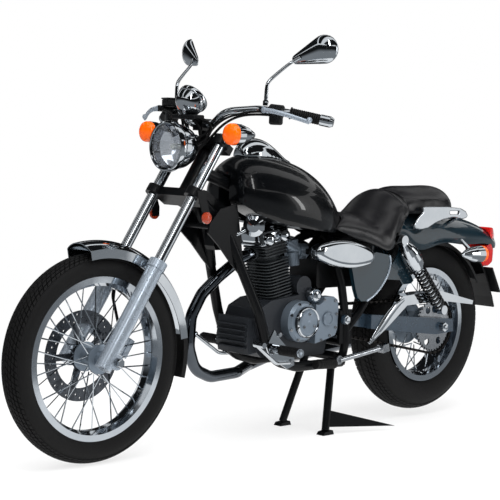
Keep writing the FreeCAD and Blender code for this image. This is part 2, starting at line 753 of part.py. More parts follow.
def down_tube_path():
    """Corners of the left down tube from the headstock to the rear of the cradle."""
    head_low = fork_point(-8, 0, lower_clamp[1] + 26)
    low = [(309, 70, 328), (247, cradle_side, 181), (216, cradle_side, 100), (172, cradle_side, 26),
           (70, cradle_side, 0), (pivot[0] - 10, cradle_side, 0)]     # x, y and height over the cradle
    return ([head_low + vec(0, 10, 0), head_low + vec(-105, 46, -110)]
            + [vec(x, y, cradle_height + up) for x, y, up in low])


# ---------------------------------------------------------------- frame
def frame():
    """Double-cradle tube frame with headstock, front panels, pivot plates, seat rails and stand lugs."""
    head = on_fork(Part.makeCylinder(head_radius, upper_clamp[0] - lower_clamp[1] - 2,
                                     vec(0, 0, lower_clamp[1] + 1)))
    stem_bore = on_fork(Part.makeCylinder(stem_radius + running_fit, 400, vec(0, 0, 480)))
    backbone_end = vec(-150, 0, rail_height)
    tubes = [head, rod(head_middle, backbone_end, backbone_radius)]
    side_tubes = []
    rear_x = pivot[0] - 10
    side_tubes.append(bent_rod(down_tube_path(), main_tube, 90))
    post_side = plate_side + 7
    side_tubes.append(bent_rod([vec(rear_x, cradle_side, cradle_height - 6), vec(rear_x - 4, post_side,
                                                                                 300),
                                vec(rear_x, post_side, 385), vec(-117, post_side, 500),
                                vec(-84, rail_side + 16, rail_height - 26),
                                vec(-110, rail_side * 0.4, rail_height)], main_tube - 2, 60))
    side_tubes.append(bent_rod([vec(rear_x, post_side, 340), vec(-205, post_side + 4, 400),
                                vec(-384, post_side, rail_height - 49),
                                vec(-400, rail_side + 4, rail_height)], diagonal_radius, 40))
    side_tubes.append(bent_rod([backbone_end + vec(12, 0, 0), vec(-190, rail_side, rail_height),
                                vec(-780, rail_side, rail_height)], rail_radius, 60))
    side_tubes.append(slab([(pivot[0] + 20, 410), (pivot[0] - 34, 410), (pivot[0] - 40, 300),
                            (pivot[0] + 20, 300)], plate_side, plate_side + plate_thickness))
    lug_x, lug_top = stand_pivot[0], stand_pivot[1] + 14
    side_tubes.append(slab([(lug_x - 18, cradle_height), (lug_x - 18, lug_top), (lug_x + 18, lug_top),
                            (lug_x + 18, cradle_height)], 80, 92))
    side_tubes.append(rod(vec(side_pivot[0], cradle_side, side_pivot[1] - 6),
                          vec(side_pivot[0], side_pivot_side - 4.3, side_pivot[1] - 6), 10))
    side_tubes.append(slab([(336, 752), (420, 800), (440, 776), (360, 700)], 14, 20))
    side_tubes.append(slab(front_panel, panel_side, panel_side + 6))
    side_tubes.append(rod(vec(-388, 100, shock_top.z - 10), vec(shock_top.x, 118, shock_top.z), 9))
    side_tubes.append(cross_rod(shock_top.x, shock_top.z, 114, shock_side - shock_eye - seat_gap, 9))
    side_tubes.append(slab([(-340, 540), (-400, 560), (-400, 542), (-350, 524)],
                           103, rear_panel_side - seat_gap))
    for tube in side_tubes:
        tubes.append(tube)
        tubes.append(mirrored(tube))
    lobe = slab([(343, 750), (343, 628), (352, 615), (372, 615), (381, 628), (381, 770)], -22, 22)
    panel_tie = cross_rod(424, 690, -panel_side - 3, panel_side + 3, 8)
    cross_bars = [cross_rod(rear_x - 4, 300, -post_side, post_side, 11), lobe, panel_tie,
                  cross_rod(-780, rail_height, -rail_side, rail_side, rail_radius),
                  cross_rod(-330, rail_height, -rail_side, rail_side, rail_radius)]
    body = tubes[0].fuse(tubes[1:] + cross_bars)
    stand_hole = cross_rod(stand_pivot[0], stand_pivot[1], -120, 120, 8 + running_fit)
    pivot_hole = cross_rod(pivot[0], pivot[1], -140, 140, pivot_radius + running_fit)
    return body.cut([stem_bore, stand_hole, pivot_hole])


def swing_arm():
    """Boxed fork from the pivot tube back to the rear axle, with its shock lugs."""
    inner = 97.0
    outer = 122.0
    bend_x = pivot[0] - 130
    axle = rear_axle
    slope = (axle.z - pivot[1]) / (axle.x - pivot[0])

    def middle(x):
        return pivot[1] + (x - pivot[0]) * slope
    arm = slab([(bend_x, middle(bend_x) + 23), (axle.x - 62, axle.z + 24), (axle.x - 68, axle.z - 20),
                (axle.x + 30, axle.z - 26), (bend_x, middle(bend_x) - 25)], inner, outer)
    neck = slab([(pivot[0] - 10, pivot[1] + 20), (bend_x - 14, middle(bend_x - 14) + 22),
                 (bend_x - 14, middle(bend_x - 14) - 24), (pivot[0] - 10, pivot[1] - 20)], 62, 93)
    knee = slab([(bend_x + 4, middle(bend_x) + 22), (bend_x - 14, middle(bend_x - 14) + 22),
                 (bend_x - 14, middle(bend_x - 14) - 24), (bend_x + 4, middle(bend_x) - 24)], 90, outer)
    cap = cross_rod(pivot[0], pivot[1], 90, plate_side + plate_thickness + 8, pivot_radius)
    shock_lug = cross_rod(shock_low.x, shock_low.z, outer - 3, shock_side - shock_eye - seat_gap, 14)
    side = joined([arm, neck, knee, cap, shock_lug])
    body = joined([side, mirrored(side), cross_rod(pivot[0], pivot[1], -93, 93, 22),
                   cross_rod(bend_x + 30, middle(bend_x + 30), -64, 64, 18)])
    slot = cross_rod(axle.x, axle.z, -200, 200, axle_radius + running_fit)
    return body.cut(slot)


def shock_axis_solid(outline):
    """Turned piece along the left shock absorber's axis."""
    return lathe(outline, shock_low, shock_top - shock_low)


def shock_absorber():
    """Damper with eyes at both ends and a teardrop chrome shroud over its upper third."""
    length = (shock_top - shock_low).Length
    damper = shock_axis_solid([(0, 0), (shock_rod, 0), (shock_rod, spring_top + 2), (20, spring_top + 3),
                               (28, spring_top + 20), (33, spring_top + 46), (32, length - 62),
                               (24, length - 36), (shock_rod + 4, length - 18),
                               (shock_rod, length), (0, length)])
    eyes = [cross_rod(end.x, end.z, shock_side - shock_eye, shock_side + shock_eye, radius)
            for end, radius in ((shock_low, 16), (shock_top, 17))]
    return joined([damper] + eyes)


def shock_spring():
    """Coil spring as a stack of round turns on the damper."""
    turns = 12
    first = 22.0
    pitch = (spring_top - first) / turns
    outline = [(shock_rod + seat_gap, first)]
    for number in range(turns):
        low = first + pitch * number
        outline.append((17, low))
        outline.append((25, low + pitch * 0.3))
        outline.append((25, low + pitch * 0.7))
    outline.append((17, spring_top))
    outline.append((shock_rod + seat_gap, spring_top))
    return shock_axis_solid(outline)


# ---------------------------------------------------------------- engine
def crankcase():
    """Crankcase with its sump, starter motor and frame lugs."""
    outline = [(238, 300), (246, 372), (222, 428), (170, 452), (40, 466), (10, 456), (-58, 462), (-94,
                                                                                                  446),
               (-102, 420), (-102, 340), (-84, 264), (150, 262), (210, 274)]
    block = slab(outline, -crankcase_half, crankcase_half)
    block = rounded(block, 12, lambda edge: along_axis(edge, Y_AXIS))
    starter = cross_rod(20, 492, -60, 70, 34)
    web = slab([(-28, 440), (44, 440), (40, 480), (-24, 480)], -50, 60)
    lug_end = cradle_side - main_tube - seat_gap
    front_lug = cross_rod(224, 320, -lug_end, lug_end, 13)
    sprocket = cross_rod(drive_sprocket[0], drive_sprocket[1], crankcase_half - 2, chain_side + 4,
                         drive_sprocket_radius)
    rear_lug = cross_rod(-98, 386, -plate_side + seat_gap, plate_side - seat_gap, 11)
    front_box = slab([(226, 290), (262, 286), (272, 330), (264, 402), (230, 398)], -70, 70)
    fins = [slab([(256, z), (279, z), (279, z + 4), (256, z + 4)], -62, 62) for z in (304, 322, 340, 358,
                                                                                      376)]
    body = joined([block, starter, web, front_lug, rear_lug, sprocket, front_box] + fins)
    seat = fin_size + 2
    return body.cut(lean_with_cylinder(Part.makeBox(seat, seat, 60, vec(-seat / 2, -seat / 2, 0))))


def lean_with_cylinder(shape):
    """Set a shape modelled upright on the cylinder's axis at its lean."""
    leaning = FreeCAD.Placement(vec(cylinder_foot[0], 0, cylinder_foot[1]),
                                FreeCAD.Rotation(Y_AXIS, cylinder_lean))
    shape = shape.copy()
    shape.Placement = leaning.multiply(shape.Placement)
    return shape


def cylinder_point(x, y, z):
    """A point given in the leaning cylinder's own frame."""
    turn = FreeCAD.Rotation(Y_AXIS, cylinder_lean)
    return vec(cylinder_foot[0], 0, cylinder_foot[1]) + turn.multVec(vec(x, y, z))


def fin(height, size):
    """One square cooling fin with rounded corners."""
    half = size / 2
    plate = Part.makeBox(size, size, fin_thickness, vec(-half, -half, height))
    return rounded(plate, fin_corner, lambda edge: along_axis(edge, Z_AXIS))


def finned_cylinder():
    """Barrel with its stack of cooling fins."""
    base = seat_gap
    pieces = [Part.makeCylinder(barrel_radius, cylinder_height - base, vec(0, 0, base))]
    count = int((cylinder_height - 16) / fin_pitch)
    for number in range(count):
        pieces.append(fin(12 + number * fin_pitch, fin_size))
    return lean_with_cylinder(joined(pieces))


def cylinder_head():
    """Finned head, rounded rocker cover with a dome at each end, and the ports' collars."""
    low = cylinder_height + seat_gap
    pieces = [Part.makeBox(92, 92, head_height + 14, vec(-46, -46, low))]
    for number in range(4):
        pieces.append(fin(low + 3 + number * fin_pitch, fin_size))
    cover = Part.makeBox(122, 100, 46, vec(-60, -50, low + head_height + 2))
    cover = rounded(cover, 18, lambda edge: edge.BoundBox.ZMin > low + head_height + 40)
    pieces.append(cover)
    for end in (-32, 34):
        pieces.append(rod(vec(end, -60, low + head_height + 18), vec(end, 60, low + head_height + 18),
                          19))
    pieces.append(rod(vec(40, 0, low + 16), vec(64, 0, low + 16), 22))
    pieces.append(rod(vec(-40, 0, low + 22), vec(-62, 0, low + 22), 20))
    return lean_with_cylinder(joined(pieces))


def engine_covers():
    """Round ignition cover, chain cover and filler cap on the left, clutch cover on the right."""
    x, z = cover_centre
    face = crankcase_half + seat_gap
    left = lathe([(0, face), (cover_radius, face), (cover_radius, face + 32), (cover_radius - 8,
                                                                               face + 42),
                  (50, face + 45), (50, face + 58), (46, face + 64), (42, face + 60), (36, face + 63),
                  (0, face + 65)], vec(x, 0, z), Y_AXIS)
    chain_cover = slab([(-2, 460), (-84, 458), (-104, 446), (-109, 420), (-107, 352), (-98, 330), (-60,
                                                                                                   320),
                        (-2, 308)], face, crankcase_half + 35)
    chain_cover = rounded(chain_cover, 10,
                          lambda edge: along_axis(edge, Y_AXIS) and edge.BoundBox.XMax < -50)
    chain_room = joined([chain_band(chain_height + 14, chain_width + 8),
                         cross_rod(drive_sprocket[0], drive_sprocket[1], 60, chain_side + 10,
                                   drive_sprocket_radius + 8),
                         cross_rod(-98, 386, 60, plate_side, 12)])
    left_room = cross_rod(x, z, 70, 200, cover_radius + 1)
    cap_room = cross_rod(cap_centre[0], cap_centre[1], 70, 200, cap_radius + 1)
    chain_cover = chain_cover.cut([left_room, chain_room, cap_room])
    cap = lathe([(0, face), (cap_radius, face), (cap_radius, face + 14), (20, face + 26), (0, face + 30)],
                vec(cap_centre[0], 0, cap_centre[1]), Y_AXIS)
    cap = cap.cut(left_room)
    right = slab([(150, 330), (170, 390), (120, 448), (-56, 440), (-80, 404), (-80, 330), (-40, 282),
                  (100, 280)],
                 -crankcase_half - 34, -crankcase_half - seat_gap)
    right = rounded(right, 16, lambda edge: along_axis(edge, Y_AXIS))
    return Part.makeCompound([left, chain_cover, cap, right])


def air_cover_blank(grow):
    """Tilted oval of the air cover, square-edged, larger by a margin all round."""
    pad = oval(280 + 2 * grow, 92 + 2 * grow, 44)
    pad.rotate(vec(0, 0, 0), Z_AXIS, 90)
    pad.rotate(vec(0, 0, 0), Y_AXIS, -5)
    pad.translate(vec(-80, cover_side, rail_height - 56))
    return pad


def carburettor():
    """Carburettor with its float bowl and rubber ends, between head and air box."""
    port = cylinder_height + seat_gap + 22
    start = cylinder_point(-62 - seat_gap, 0, port)
    inlet = rod(start, cylinder_point(-84, 0, port), 20)
    end = vec(-14, 0, 600)
    body = rod(cylinder_point(-82, 0, port), end, 22)
    bowl = rod(vec(12, 0, 600), vec(6, 0, 556), 24)
    slide = rod(vec(8, 0, 596), vec(14, 0, 640), 21)
    hose = rod(end + vec(6, 0, 0), vec(air_box_front + seat_gap, 0, end.z), 26)
    return joined([inlet, body, bowl, slide, hose])


def air_box():
    """Air and battery box between the frame's seat posts, with bosses for its covers."""
    box = slab([(air_box_front, 482), (air_box_front, 618), (-130, 618), (-156, 640), (-300, 640), (-318,
                                                                                                    600),
                (-318, 482)], -air_box_half, air_box_half)
    box = rounded(box, 14, lambda edge: along_axis(edge, Y_AXIS))
    bosses = []
    for x, z in ((-10, 604), (-150, 604), (-250, 530)):
        for side in (1, -1):
            bosses.append(rod(vec(x, side * (air_box_half - 4), z),
                              vec(x, side * (cover_side - seat_gap), z), 9))
    arm = slab([(air_box_front - 10, 590), (air_box_front - 10, 618), (0, 612), (0, 596)], 52,
               air_box_half)
    return joined([box, arm, mirrored(arm)] + bosses)


def air_cover():
    """Long oval chrome cover, lower at its rear end."""
    return rounded(air_cover_blank(0), 20, lambda edge: edge.BoundBox.YMin > cover_side + 43.9)


def side_cover():
    """Rounded side panel under the air cover, and the panel behind it inside the shock."""
    panel = slab([(-126, 556), (-134, 534), (-150, 480), (-162, 454), (-180, 441), (-207, 440), (-251,
                                                                                                 458),
                  (-299, 507), (-317, 540), (-323, 578), (-314, 590), (-294, 594), (-247, 602), (-180,
                                                                                                 590)],
                 cover_side, cover_side + 16)
    panel = panel.cut(air_cover_blank(seat_gap))
    rear = slab([(-404, 603), (-482, 496), (-470, 486), (-424, 484), (-408, 500), (-326, 506)],
                rear_panel_side, rear_panel_side + 5)
    return Part.makeCompound([panel, rear])


# ---------------------------------------------------------------- bodywork
def tank_shell():
    """Outside of the teardrop tank."""
    return arch_loft(above_rails([(326, 116, 186, 62), (296, 86, 238, 112), (200, 48, 258, 150),
                                  (90, 30, 243, 158), (-20, 16, 202, 140), (-90, 14, 150, 108),
                                  (-152, 28, 80, 62)]))


def fuel_tank():
    """Teardrop tank with a tunnel over the frame's backbone and room for the rocker cover."""
    slope = (head_middle.z - rail_height) / (head_middle.x + 150)

    def height(x):
        return rail_height + (x + 150) * slope
    tunnel = slab([(-200, 600), (-200, height(-200) + 24), (380, height(380) + 24), (380, 600)], -24, 24)
    room = slab([(66, 600), (66, 716), (226, 730), (226, 600)], -66, 66)
    return tank_shell().cut([tunnel, room])


def tank_console():
    """Chrome console along the tank's crown, with the filler cap."""
    pod = arch_loft(above_rails([(270, 228, 278, 24), (236, 234, 304, 44), (176, 234, 306, 44),
                                 (110, 222, 274, 36), (44, 194, 241, 16)]))
    shell = tank_shell()
    shell.translate(vec(0, 0, seat_gap))
    return pod.cut(shell)


def rider_seat():
    """Bucket saddle with side skirts, hollow below over the frame rails."""
    body = arch_loft(above_rails([(-60, 6, 42, 118), (-150, -14, 78, 134), (-205, -30, 72, 142),
                                  (-262, -47, 64, 149), (-303, -58, 76, 150), (-330, -56, 116, 149),
                                  (-352, -46, 143, 145), (-378, -10, 152, 138), (-411, 46, 153, 128)]))
    half = plate_side + 21
    hollow = Part.makeBox(500, 2 * half, 400, vec(-500, -half, rail_height + 24 - 400))
    eyes = cross_rod(shock_top.x, shock_top.z, -200, 200, 19)
    return body.cut(hollow).cut(eyes).cut(tank_shell())


def pillion_seat():
    """Passenger pad shaped over the rear fender."""
    pad = arch_loft(above_rails([(-414, 56, 150, 108), (-450, 57, 158, 112), (-600, 62, 162, 108),
                                 (-690, 61, 160, 98), (-728, 63, 147, 78)]))
    saddle = fender_shell(0)
    saddle.translate(vec(0, 0, seat_gap))
    below = Part.makeBox(500, 400, 200, vec(-900, -200, rail_height - 131))
    return pad.cut([saddle, below])


def fender_shell(inset):
    """Solid outline of the rear fender, drawn in by a wall's thickness."""
    sections = above_rails([(-424, -10, 72, 91), (-500, -42, 74, 92), (-560, -58, 75, 92), (-662, -38, 72,
                                                                                            92),
                            (-780, -44, 58, 90), (-905, -44, 34, 80), (-985, -54, 6, 64), (-1030, -66,
                                                                                           -12, 48)])
    low = 4 if inset > 0 else 0
    return arch_loft([(x, bottom - low, top - inset, half - inset) for x, bottom, top, half in sections])


def rear_fender():
    """Deep rear fender with a closed tail, and the guard ahead of the tyre."""
    hollow = fender_shell(3.0)
    tail = Part.makeBox(60, 300, 300, vec(-1087, -150, 500))
    shell = fender_shell(0).cut(hollow.cut(tail))
    corners = [vec(guard_radius, -guard_half, 0), vec(guard_radius, guard_half, 0),
               vec(guard_radius + 3, guard_half, 0), vec(guard_radius + 3, -guard_half, 0)]
    section = [Part.makeLine(start, end) for start, end in zip(corners, corners[1:] + corners[:1])]
    guard = wheel_arc(section, rear_axle, 28, 62)
    return Part.makeCompound([shell, guard])


def tail_lamp():
    """Curved red lens wrapped round the tail."""
    side = slab(at_rails([(-970, 14), (-998, 12), (-1024, -14), (-1042, -52), (tail_end, -92), (-1036,
                                                                                                -120),
                          (-1014, -134.7), (-965.2, -134.5)]), -75, 75)
    plan = plan_slab([(-960, 71), (-990, 63), (-1016, 51), (-1036, 34), (-1047, 11), (-1047, -11),
                      (-1036, -34), (-1016, -51), (-990, -63), (-960, -71)], 450, 750)
    outline = at_rails([(75, 20), (75, -40), (46, -72), (34, -130), (26, -150), (-26, -150), (-34, -130),
                        (-46, -72), (-75, -40), (-75, 20)])
    points = [vec(-1080, y, z) for y, z in outline]
    end = Part.Face(Part.makePolygon(points + points[:1])).extrude(vec(140, 0, 0))
    return side.common(plan).common(end).cut(fender_shell(-seat_gap))


def grab_rail():
    """Broad chrome hand rail beside the pillion pad, with a slot near its end."""
    handle = slab(at_rails([(-456, 34), (-464, 21), (-493, 16), (-533, 22), (-573, 39), (-614, 50), (-670,
                                                                                                     58),
                            (-727, 50), (-748, 56), (-752, 64), (-740, 79), (-710, 90), (-639, 95), (-505,
                                                                                                     96),
                            (-500, 90), (-502, 76), (-478, 59)]), 118, 128)
    slot = slab(at_rails([(-652, 68), (-700, 68), (-704, 80), (-648, 80)]), 110, 140)
    feet = [rod(vec(-500, 120, rail_height + 34), vec(-500, 80, rail_height + 20), 8),
            rod(vec(-700, 120, rail_height + 56), vec(-700, 60, rail_height + 26), 7)]
    feet = [foot.cut(fender_shell(-seat_gap)) for foot in feet]
    return joined([handle.cut(slot)] + feet)


def rear_indicator():
    """Pointed chrome lamp body on a stalk from the tail."""
    shell = lathe([(0, -128), (8, -121), (21, -92), (28, -58), (30, lens_seat), (0, lens_seat)],
                  rear_lamp_centre, vec(-1, 0, 0))
    stalk = rod(rear_lamp_centre + vec(52, -14, 8), vec(-768, 89, rail_height - 28), 7)
    return shell.fuse(stalk).cut(fender_shell(-seat_gap)).removeSplitter()


def mud_flap():
    """Inner guard round the tyre, and the rubber flap that hangs from the tail."""
    guard = wheel_arc(arch_section(316.5, 285, 81, 2.5), rear_axle, 62, 150)
    flap = slab(at_rails([(-928, -105), (-957, -133), (-996, -196), (-1024, -249), (-1039, -288), (-1044,
                                                                                                   -286),
                          (-1029, -247), (-1001, -193), (-962, -130), (-933, -100)]), -46, 46)
    shelf = slab(at_rails([(-905, -162), (-976, -158), (-978, -163), (-907, -167)]), -46, 46)
    return joined([guard, flap, shelf])


def number_plate():
    """Blank plate on its bracket behind the flap."""
    plate = slab(at_rails([(-987, -139), (-992, -136), (tail_end, -228), (tail_end + 5, -231)]), -70, 70)
    arm = slab(at_rails([(-972.6, -146), (-994.2, -181), (-1018, -181), (-998, -146)]), -34, 34)
    return joined([plate, arm])


def chain_guard():
    """Blade over the chain's upper run, rising from the pivot."""
    blade = slab([(-244, 297), (-262, 300), (-330, 372), (-416, 445), (-518, 452), (-624, 454), (-809,
                                                                                                 412),
                  (-806, 398), (-640, 418), (-530, 416), (-440, 412), (-346, 346), (-256, 290)], 122.3,
                  124.6)
    lip = slab([(-416, 445), (-518, 452), (-624, 454), (-809, 412), (-809, 409), (-624, 451), (-518, 449),
                (-418, 442)], 73, 122.5)
    return joined([blade, lip])


# ---------------------------------------------------------------- chain
def chain_band(height, width):
    """The chain's closed loop: a band of a height and width round both sprockets."""
    small = vec(drive_sprocket[0], 0, drive_sprocket[1])
    big = vec(rear_axle.x, 0, rear_axle.z)
    small_radius = drive_sprocket_radius + 0.5 + chain_height / 2
    big_radius = wheel_sprocket_radius + 0.5 + chain_height / 2

    def loop(grow):
        near, far = small_radius + grow, big_radius + grow
        run = big - small
        span = run.Length
        lean = math.atan2(run.z, run.x)
        offset = math.acos((near - far) / span)

        def at(centre, radius, angle):
            return centre + vec(radius * math.cos(angle), 0, radius * math.sin(angle))
        top, low = lean - offset, lean + offset
        back = lean + math.pi
        edges = [Part.makeLine(at(small, near, top), at(big, far, top)),
                 Part.Arc(at(big, far, top), at(big, far, lean), at(big, far, low)).toShape(),
                 Part.makeLine(at(big, far, low), at(small, near, low)),
                 Part.Arc(at(small, near, low), at(small, near, back), at(small, near, top)).toShape()]
        return Part.Face(Part.Wire(edges)).extrude(vec(0, width, 0))
    band = loop(height / 2).cut(loop(-height / 2))
    band.translate(vec(0, chain_side - width / 2, 0))
    return band


# ---------------------------------------------------------------- exhaust and feet
def exhaust():
    """Header from the cylinder head, under the engine, into the silencer on the right."""
    port = cylinder_height + seat_gap + 16
    header = bent_rod([cylinder_point(64 + seat_gap, 0, port), cylinder_point(106, 0, port),
                       vec(300, -40, 524), vec(350, -60, 470), vec(384, -70, 400), vec(386, -74, 300),
                       vec(352, -80, 226), vec(280, -84, 196), vec(150, -98, 198), vec(40, -160, 204),
                       vec(-110, -184, 230)], exhaust_radius, 80)
    silencer = lathe([(0, 0), (20, 0), (40, 70), (44, 120), (44, 640), (36, 690), (28, 690), (28, 660),
                      (0, 660)], vec(-96, -182, 229), vec(-0.995, 0, 0.1))
    hanger = slab([(-420, 250), (-440, 250), (-440, 330), (-420, 330)], -150, -144)
    return joined([header, silencer, hanger])


def foot_control():
    """Forward foot-peg bracket, peg and lever beside the cradle."""
    face = cradle_side + main_tube + seat_gap
    plate = slab([(198, 366), (176, 340), (144, 312), (103, 273), (103, 247), (134, 237), (212, 279),
                  (230, 314)],
                 face, face + 6)
    peg = cross_rod(188, 304, face + 4, 228, 13)
    lever = bent_rod([vec(130, 122, 258), vec(200, 132, 262), vec(300, 140, 330)], 6, 40)
    toe = cross_rod(300, 330, 136, 178, 9)
    return joined([plate, peg, lever, toe])


def foot_peg():
    """Folding passenger peg beside the cradle."""
    peg = rod(vec(16, 130, 244), vec(-74, 130, 240), 15)
    mount = rod(vec(6, cradle_side + main_tube + seat_gap, 240), vec(6, 130, 243), 8)
    return joined([peg, mount])


def horn():
    """Chrome horn on the left of the frame's head."""
    body = lathe([(0, 0), (20, 0), (34, 14), (34, 20), (20, 28), (0, 32)],
                 vec(268, 84, 694), vec(0.8, 0.6, 0))
    bracket = rod(vec(272, 86, 694), vec(330, 60, 662), 5)
    inside = Part.makeBox(300, panel_side + 6 + seat_gap, 400, vec(220, 0, 500))
    tube = bent_rod(down_tube_path()[:4], main_tube + seat_gap, 90)
    return joined([body, bracket]).cut([inside, tube])


# ---------------------------------------------------------------- stands
def centre_stand():
    """Two splayed legs on a pivot tube, with feet and the foot lever."""
    x, z = stand_pivot
    foot = vec(stand_foot_x, stand_foot_side, stand_leg_radius)
    leg = rod(vec(x, stand_root_side, z), foot, stand_leg_radius)
    sole = slab([(stand_foot_x - 26, 0), (stand_foot_x + 26, 0), (stand_foot_x + 18, 10),
                 (stand_foot_x - 20, 14)],
                stand_foot_side - 16, stand_foot_side + 16)
    brace_x = x + (stand_foot_x - x) * brace_share
    brace_z = z + (stand_leg_radius - z) * brace_share
    half = stand_root_side + (stand_foot_side - stand_root_side) * brace_share
    pieces = [leg, mirrored(leg), sole, mirrored(sole),
              cross_rod(x, z, -79, 79, 15), cross_rod(x, z, -93, 93, 8),
              cross_rod(brace_x, brace_z, -half, half, 9)]
    corners = [vec(-98, 92, 78), vec(-82, 95, 24), vec(-348, 165, 12)]
    lever = Part.Face(Part.makePolygon(corners + corners[:1])).extrude(vec(1.6, 6, 0))
    pieces.append(lever)
    return joined(pieces)


def side_stand():
    """Side stand folded back along the frame."""
    x, z = side_pivot
    side = side_pivot_side
    eye = rod(vec(x, side - 4, z), vec(x, side + 8, z), 15)
    leg = bent_rod([vec(x, side + 6, z), vec(x - 100, side + 12, z + 14),
                    vec(x - 200, side + 20, z + 30)], 9, 30)
    foot = slab([(x - 190, z + 12), (x - 220, z + 18), (x - 214, z + 44), (x - 184, z + 38)],
                side + 8, side + 34)
    return joined([eye, leg, foot])


# ---------------------------------------------------------------- all pieces
def all_pieces():
    """Every piece by name, where it sits on the machine."""
    pieces = {
        "frame": frame(), "swing_arm": swing_arm(), "rear_axle": rear_axle_rod(),
        "shock_absorbers": pair(shock_absorber()), "shock_springs": pair(shock_spring()),
        "crankcase": crankcase(), "cylinder": finned_cylinder(), "cylinder_head": cylinder_head(),
        "engine_covers": engine_covers(), "carburettor": carburettor(), "air_box": air_box(),
        "air_covers": pair(air_cover()), "side_covers": pair(side_cover()),
        "fuel_tank": fuel_tank(), "tank_console": tank_console(),
        "rider_seat": rider_seat(), "pillion_seat": pillion_seat(),
        "rear_fender": rear_fender(), "tail_lamp": tail_lamp(), "grab_rails": pair(grab_rail()),
        "rear_indicators": pair(rear_indicator()),
        "rear_lenses": pair(lens_cap(rear_lamp_centre, rear_lens_radius, vec(-1, 0, 0))),
        "mud_flap": mud_flap(), "number_plate": number_plate(), "chain_guard": chain_guard(),
        "drive_chain": chain_band(chain_height, chain_width), "exhaust": exhaust(),
        "foot_controls": pair(foot_control()), "foot_pegs": pair(foot_peg()), "horn": horn(),
        "fork_clamps": fork_clamps(), "fork_tubes": fork_tubes(), "fork_sliders": pair(fork_slider()),
        "front_axle": front_axle_rod(), "handlebar": handlebar(), "grips": pair(grip()),
        "hand_controls": pair(hand_control()), "mirrors": pair(mirror()),
        "mirror_glass": pair(mirror_plate()),
        "headlamp": headlamp(), "headlamp_glass": headlamp_glass(),
        "front_indicators": pair(front_indicator()),
        "front_lenses": Part.makeCompound([pair(lens_cap(lens_front, lens_radius - 0.5, X_AXIS)),
                                           pair(fork_reflector())]),
        "speedometer": speedometer(), "front_fender": front_fender(), "fender_flap": fender_flap(),
        "brake_caliper": brake_caliper(), "brake_hose": brake_hose(),
        "centre_stand": centre_stand(), "side_stand": side_stand()}
    pieces.update(front_wheel_pieces())
    pieces.update(rear_wheel_pieces())
    return pieces


def main():
    """Writes each piece about the middle of the machine's length."""
    os.makedirs("parts", exist_ok=True)
    for name, shape in all_pieces().items():
        shape.translate(X_AXIS * origin_shift)
        shape.exportStep(f"parts/{name}.step")


main()
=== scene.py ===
"""Visual model of a cruiser motorcycle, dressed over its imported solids."""
import math

import bmesh
import bpy
from bpy.props import FloatProperty, FloatVectorProperty, IntProperty, PointerProperty
from mathutils import Matrix, Quaternion, Vector


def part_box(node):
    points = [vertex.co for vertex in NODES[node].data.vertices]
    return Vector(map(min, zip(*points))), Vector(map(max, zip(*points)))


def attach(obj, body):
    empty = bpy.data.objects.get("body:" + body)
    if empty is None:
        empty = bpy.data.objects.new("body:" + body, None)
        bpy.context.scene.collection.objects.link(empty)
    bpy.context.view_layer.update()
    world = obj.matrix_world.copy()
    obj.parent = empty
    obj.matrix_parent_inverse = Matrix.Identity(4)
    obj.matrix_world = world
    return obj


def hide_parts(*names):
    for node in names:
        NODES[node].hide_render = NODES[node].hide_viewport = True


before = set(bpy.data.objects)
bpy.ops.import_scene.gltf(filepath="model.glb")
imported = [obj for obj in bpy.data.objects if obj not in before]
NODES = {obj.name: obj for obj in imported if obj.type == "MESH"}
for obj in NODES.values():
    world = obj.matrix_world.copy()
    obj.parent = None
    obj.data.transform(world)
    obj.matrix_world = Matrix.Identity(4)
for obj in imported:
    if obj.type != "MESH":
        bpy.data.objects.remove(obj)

bl_info = {
    "name": "Cruiser motorcycle",
    "version": (1, 0, 0),
    "blender": (4, 5, 0),
    "location": "3D View > Sidebar > Motorcycle",
    "description": "Dresses the packed solids of a cruiser motorcycle with finishes, trim and soft parts",
    "category": "Object",
}

MM = 0.001
DATUM = -45.8                # from the drawing's datum to the frame's origin, in millimetres
FORWARD = Vector((1, 0, 0))
LEFT = Vector((0, 1, 0))
UP = Vector((0, 0, 1))
ORIGIN = Vector((0, 0, 0))
RAKE = math.radians(33.3)                 # lean of the steering axis
STEM_FOOT = (805.43, 294.78)              # x and z of the steering axis beside the front axle
CYLINDER_LEAN = math.radians(11)
CYLINDER_FOOT = (100, 446)                # x and z of the cylinder's foot on its own axis


# ------------------------------------------------------------------ finishes
def linear(code):
    """An sRGB hex colour as linear RGBA."""
    channels = []
    for start in (1, 3, 5):
        value = int(code[start:start + 2], 16) / 255
        channels.append(value / 12.92 if value <= 0.04045 else ((value + 0.055) / 1.055) ** 2.4)
    return (*channels, 1.0)


def add_node(tree, kind, values=None, settings=None, links=None):
    """Adds a node, fills its sockets and settings, and links sockets to other nodes' outputs."""
    node = tree.nodes.new(kind)
    for name, value in (settings or {}).items():
        setattr(node, name, value)
    for name, value in (values or {}).items():
        node.inputs[name].default_value = value
    for name, source in (links or {}).items():
        tree.links.new(source, node.inputs[name])
    return node


# Sockets of the colour mix node, which has four of each name.
MIX_SHARE, MIX_FIRST, MIX_SECOND, MIX_COLOUR = 0, 6, 7, 2

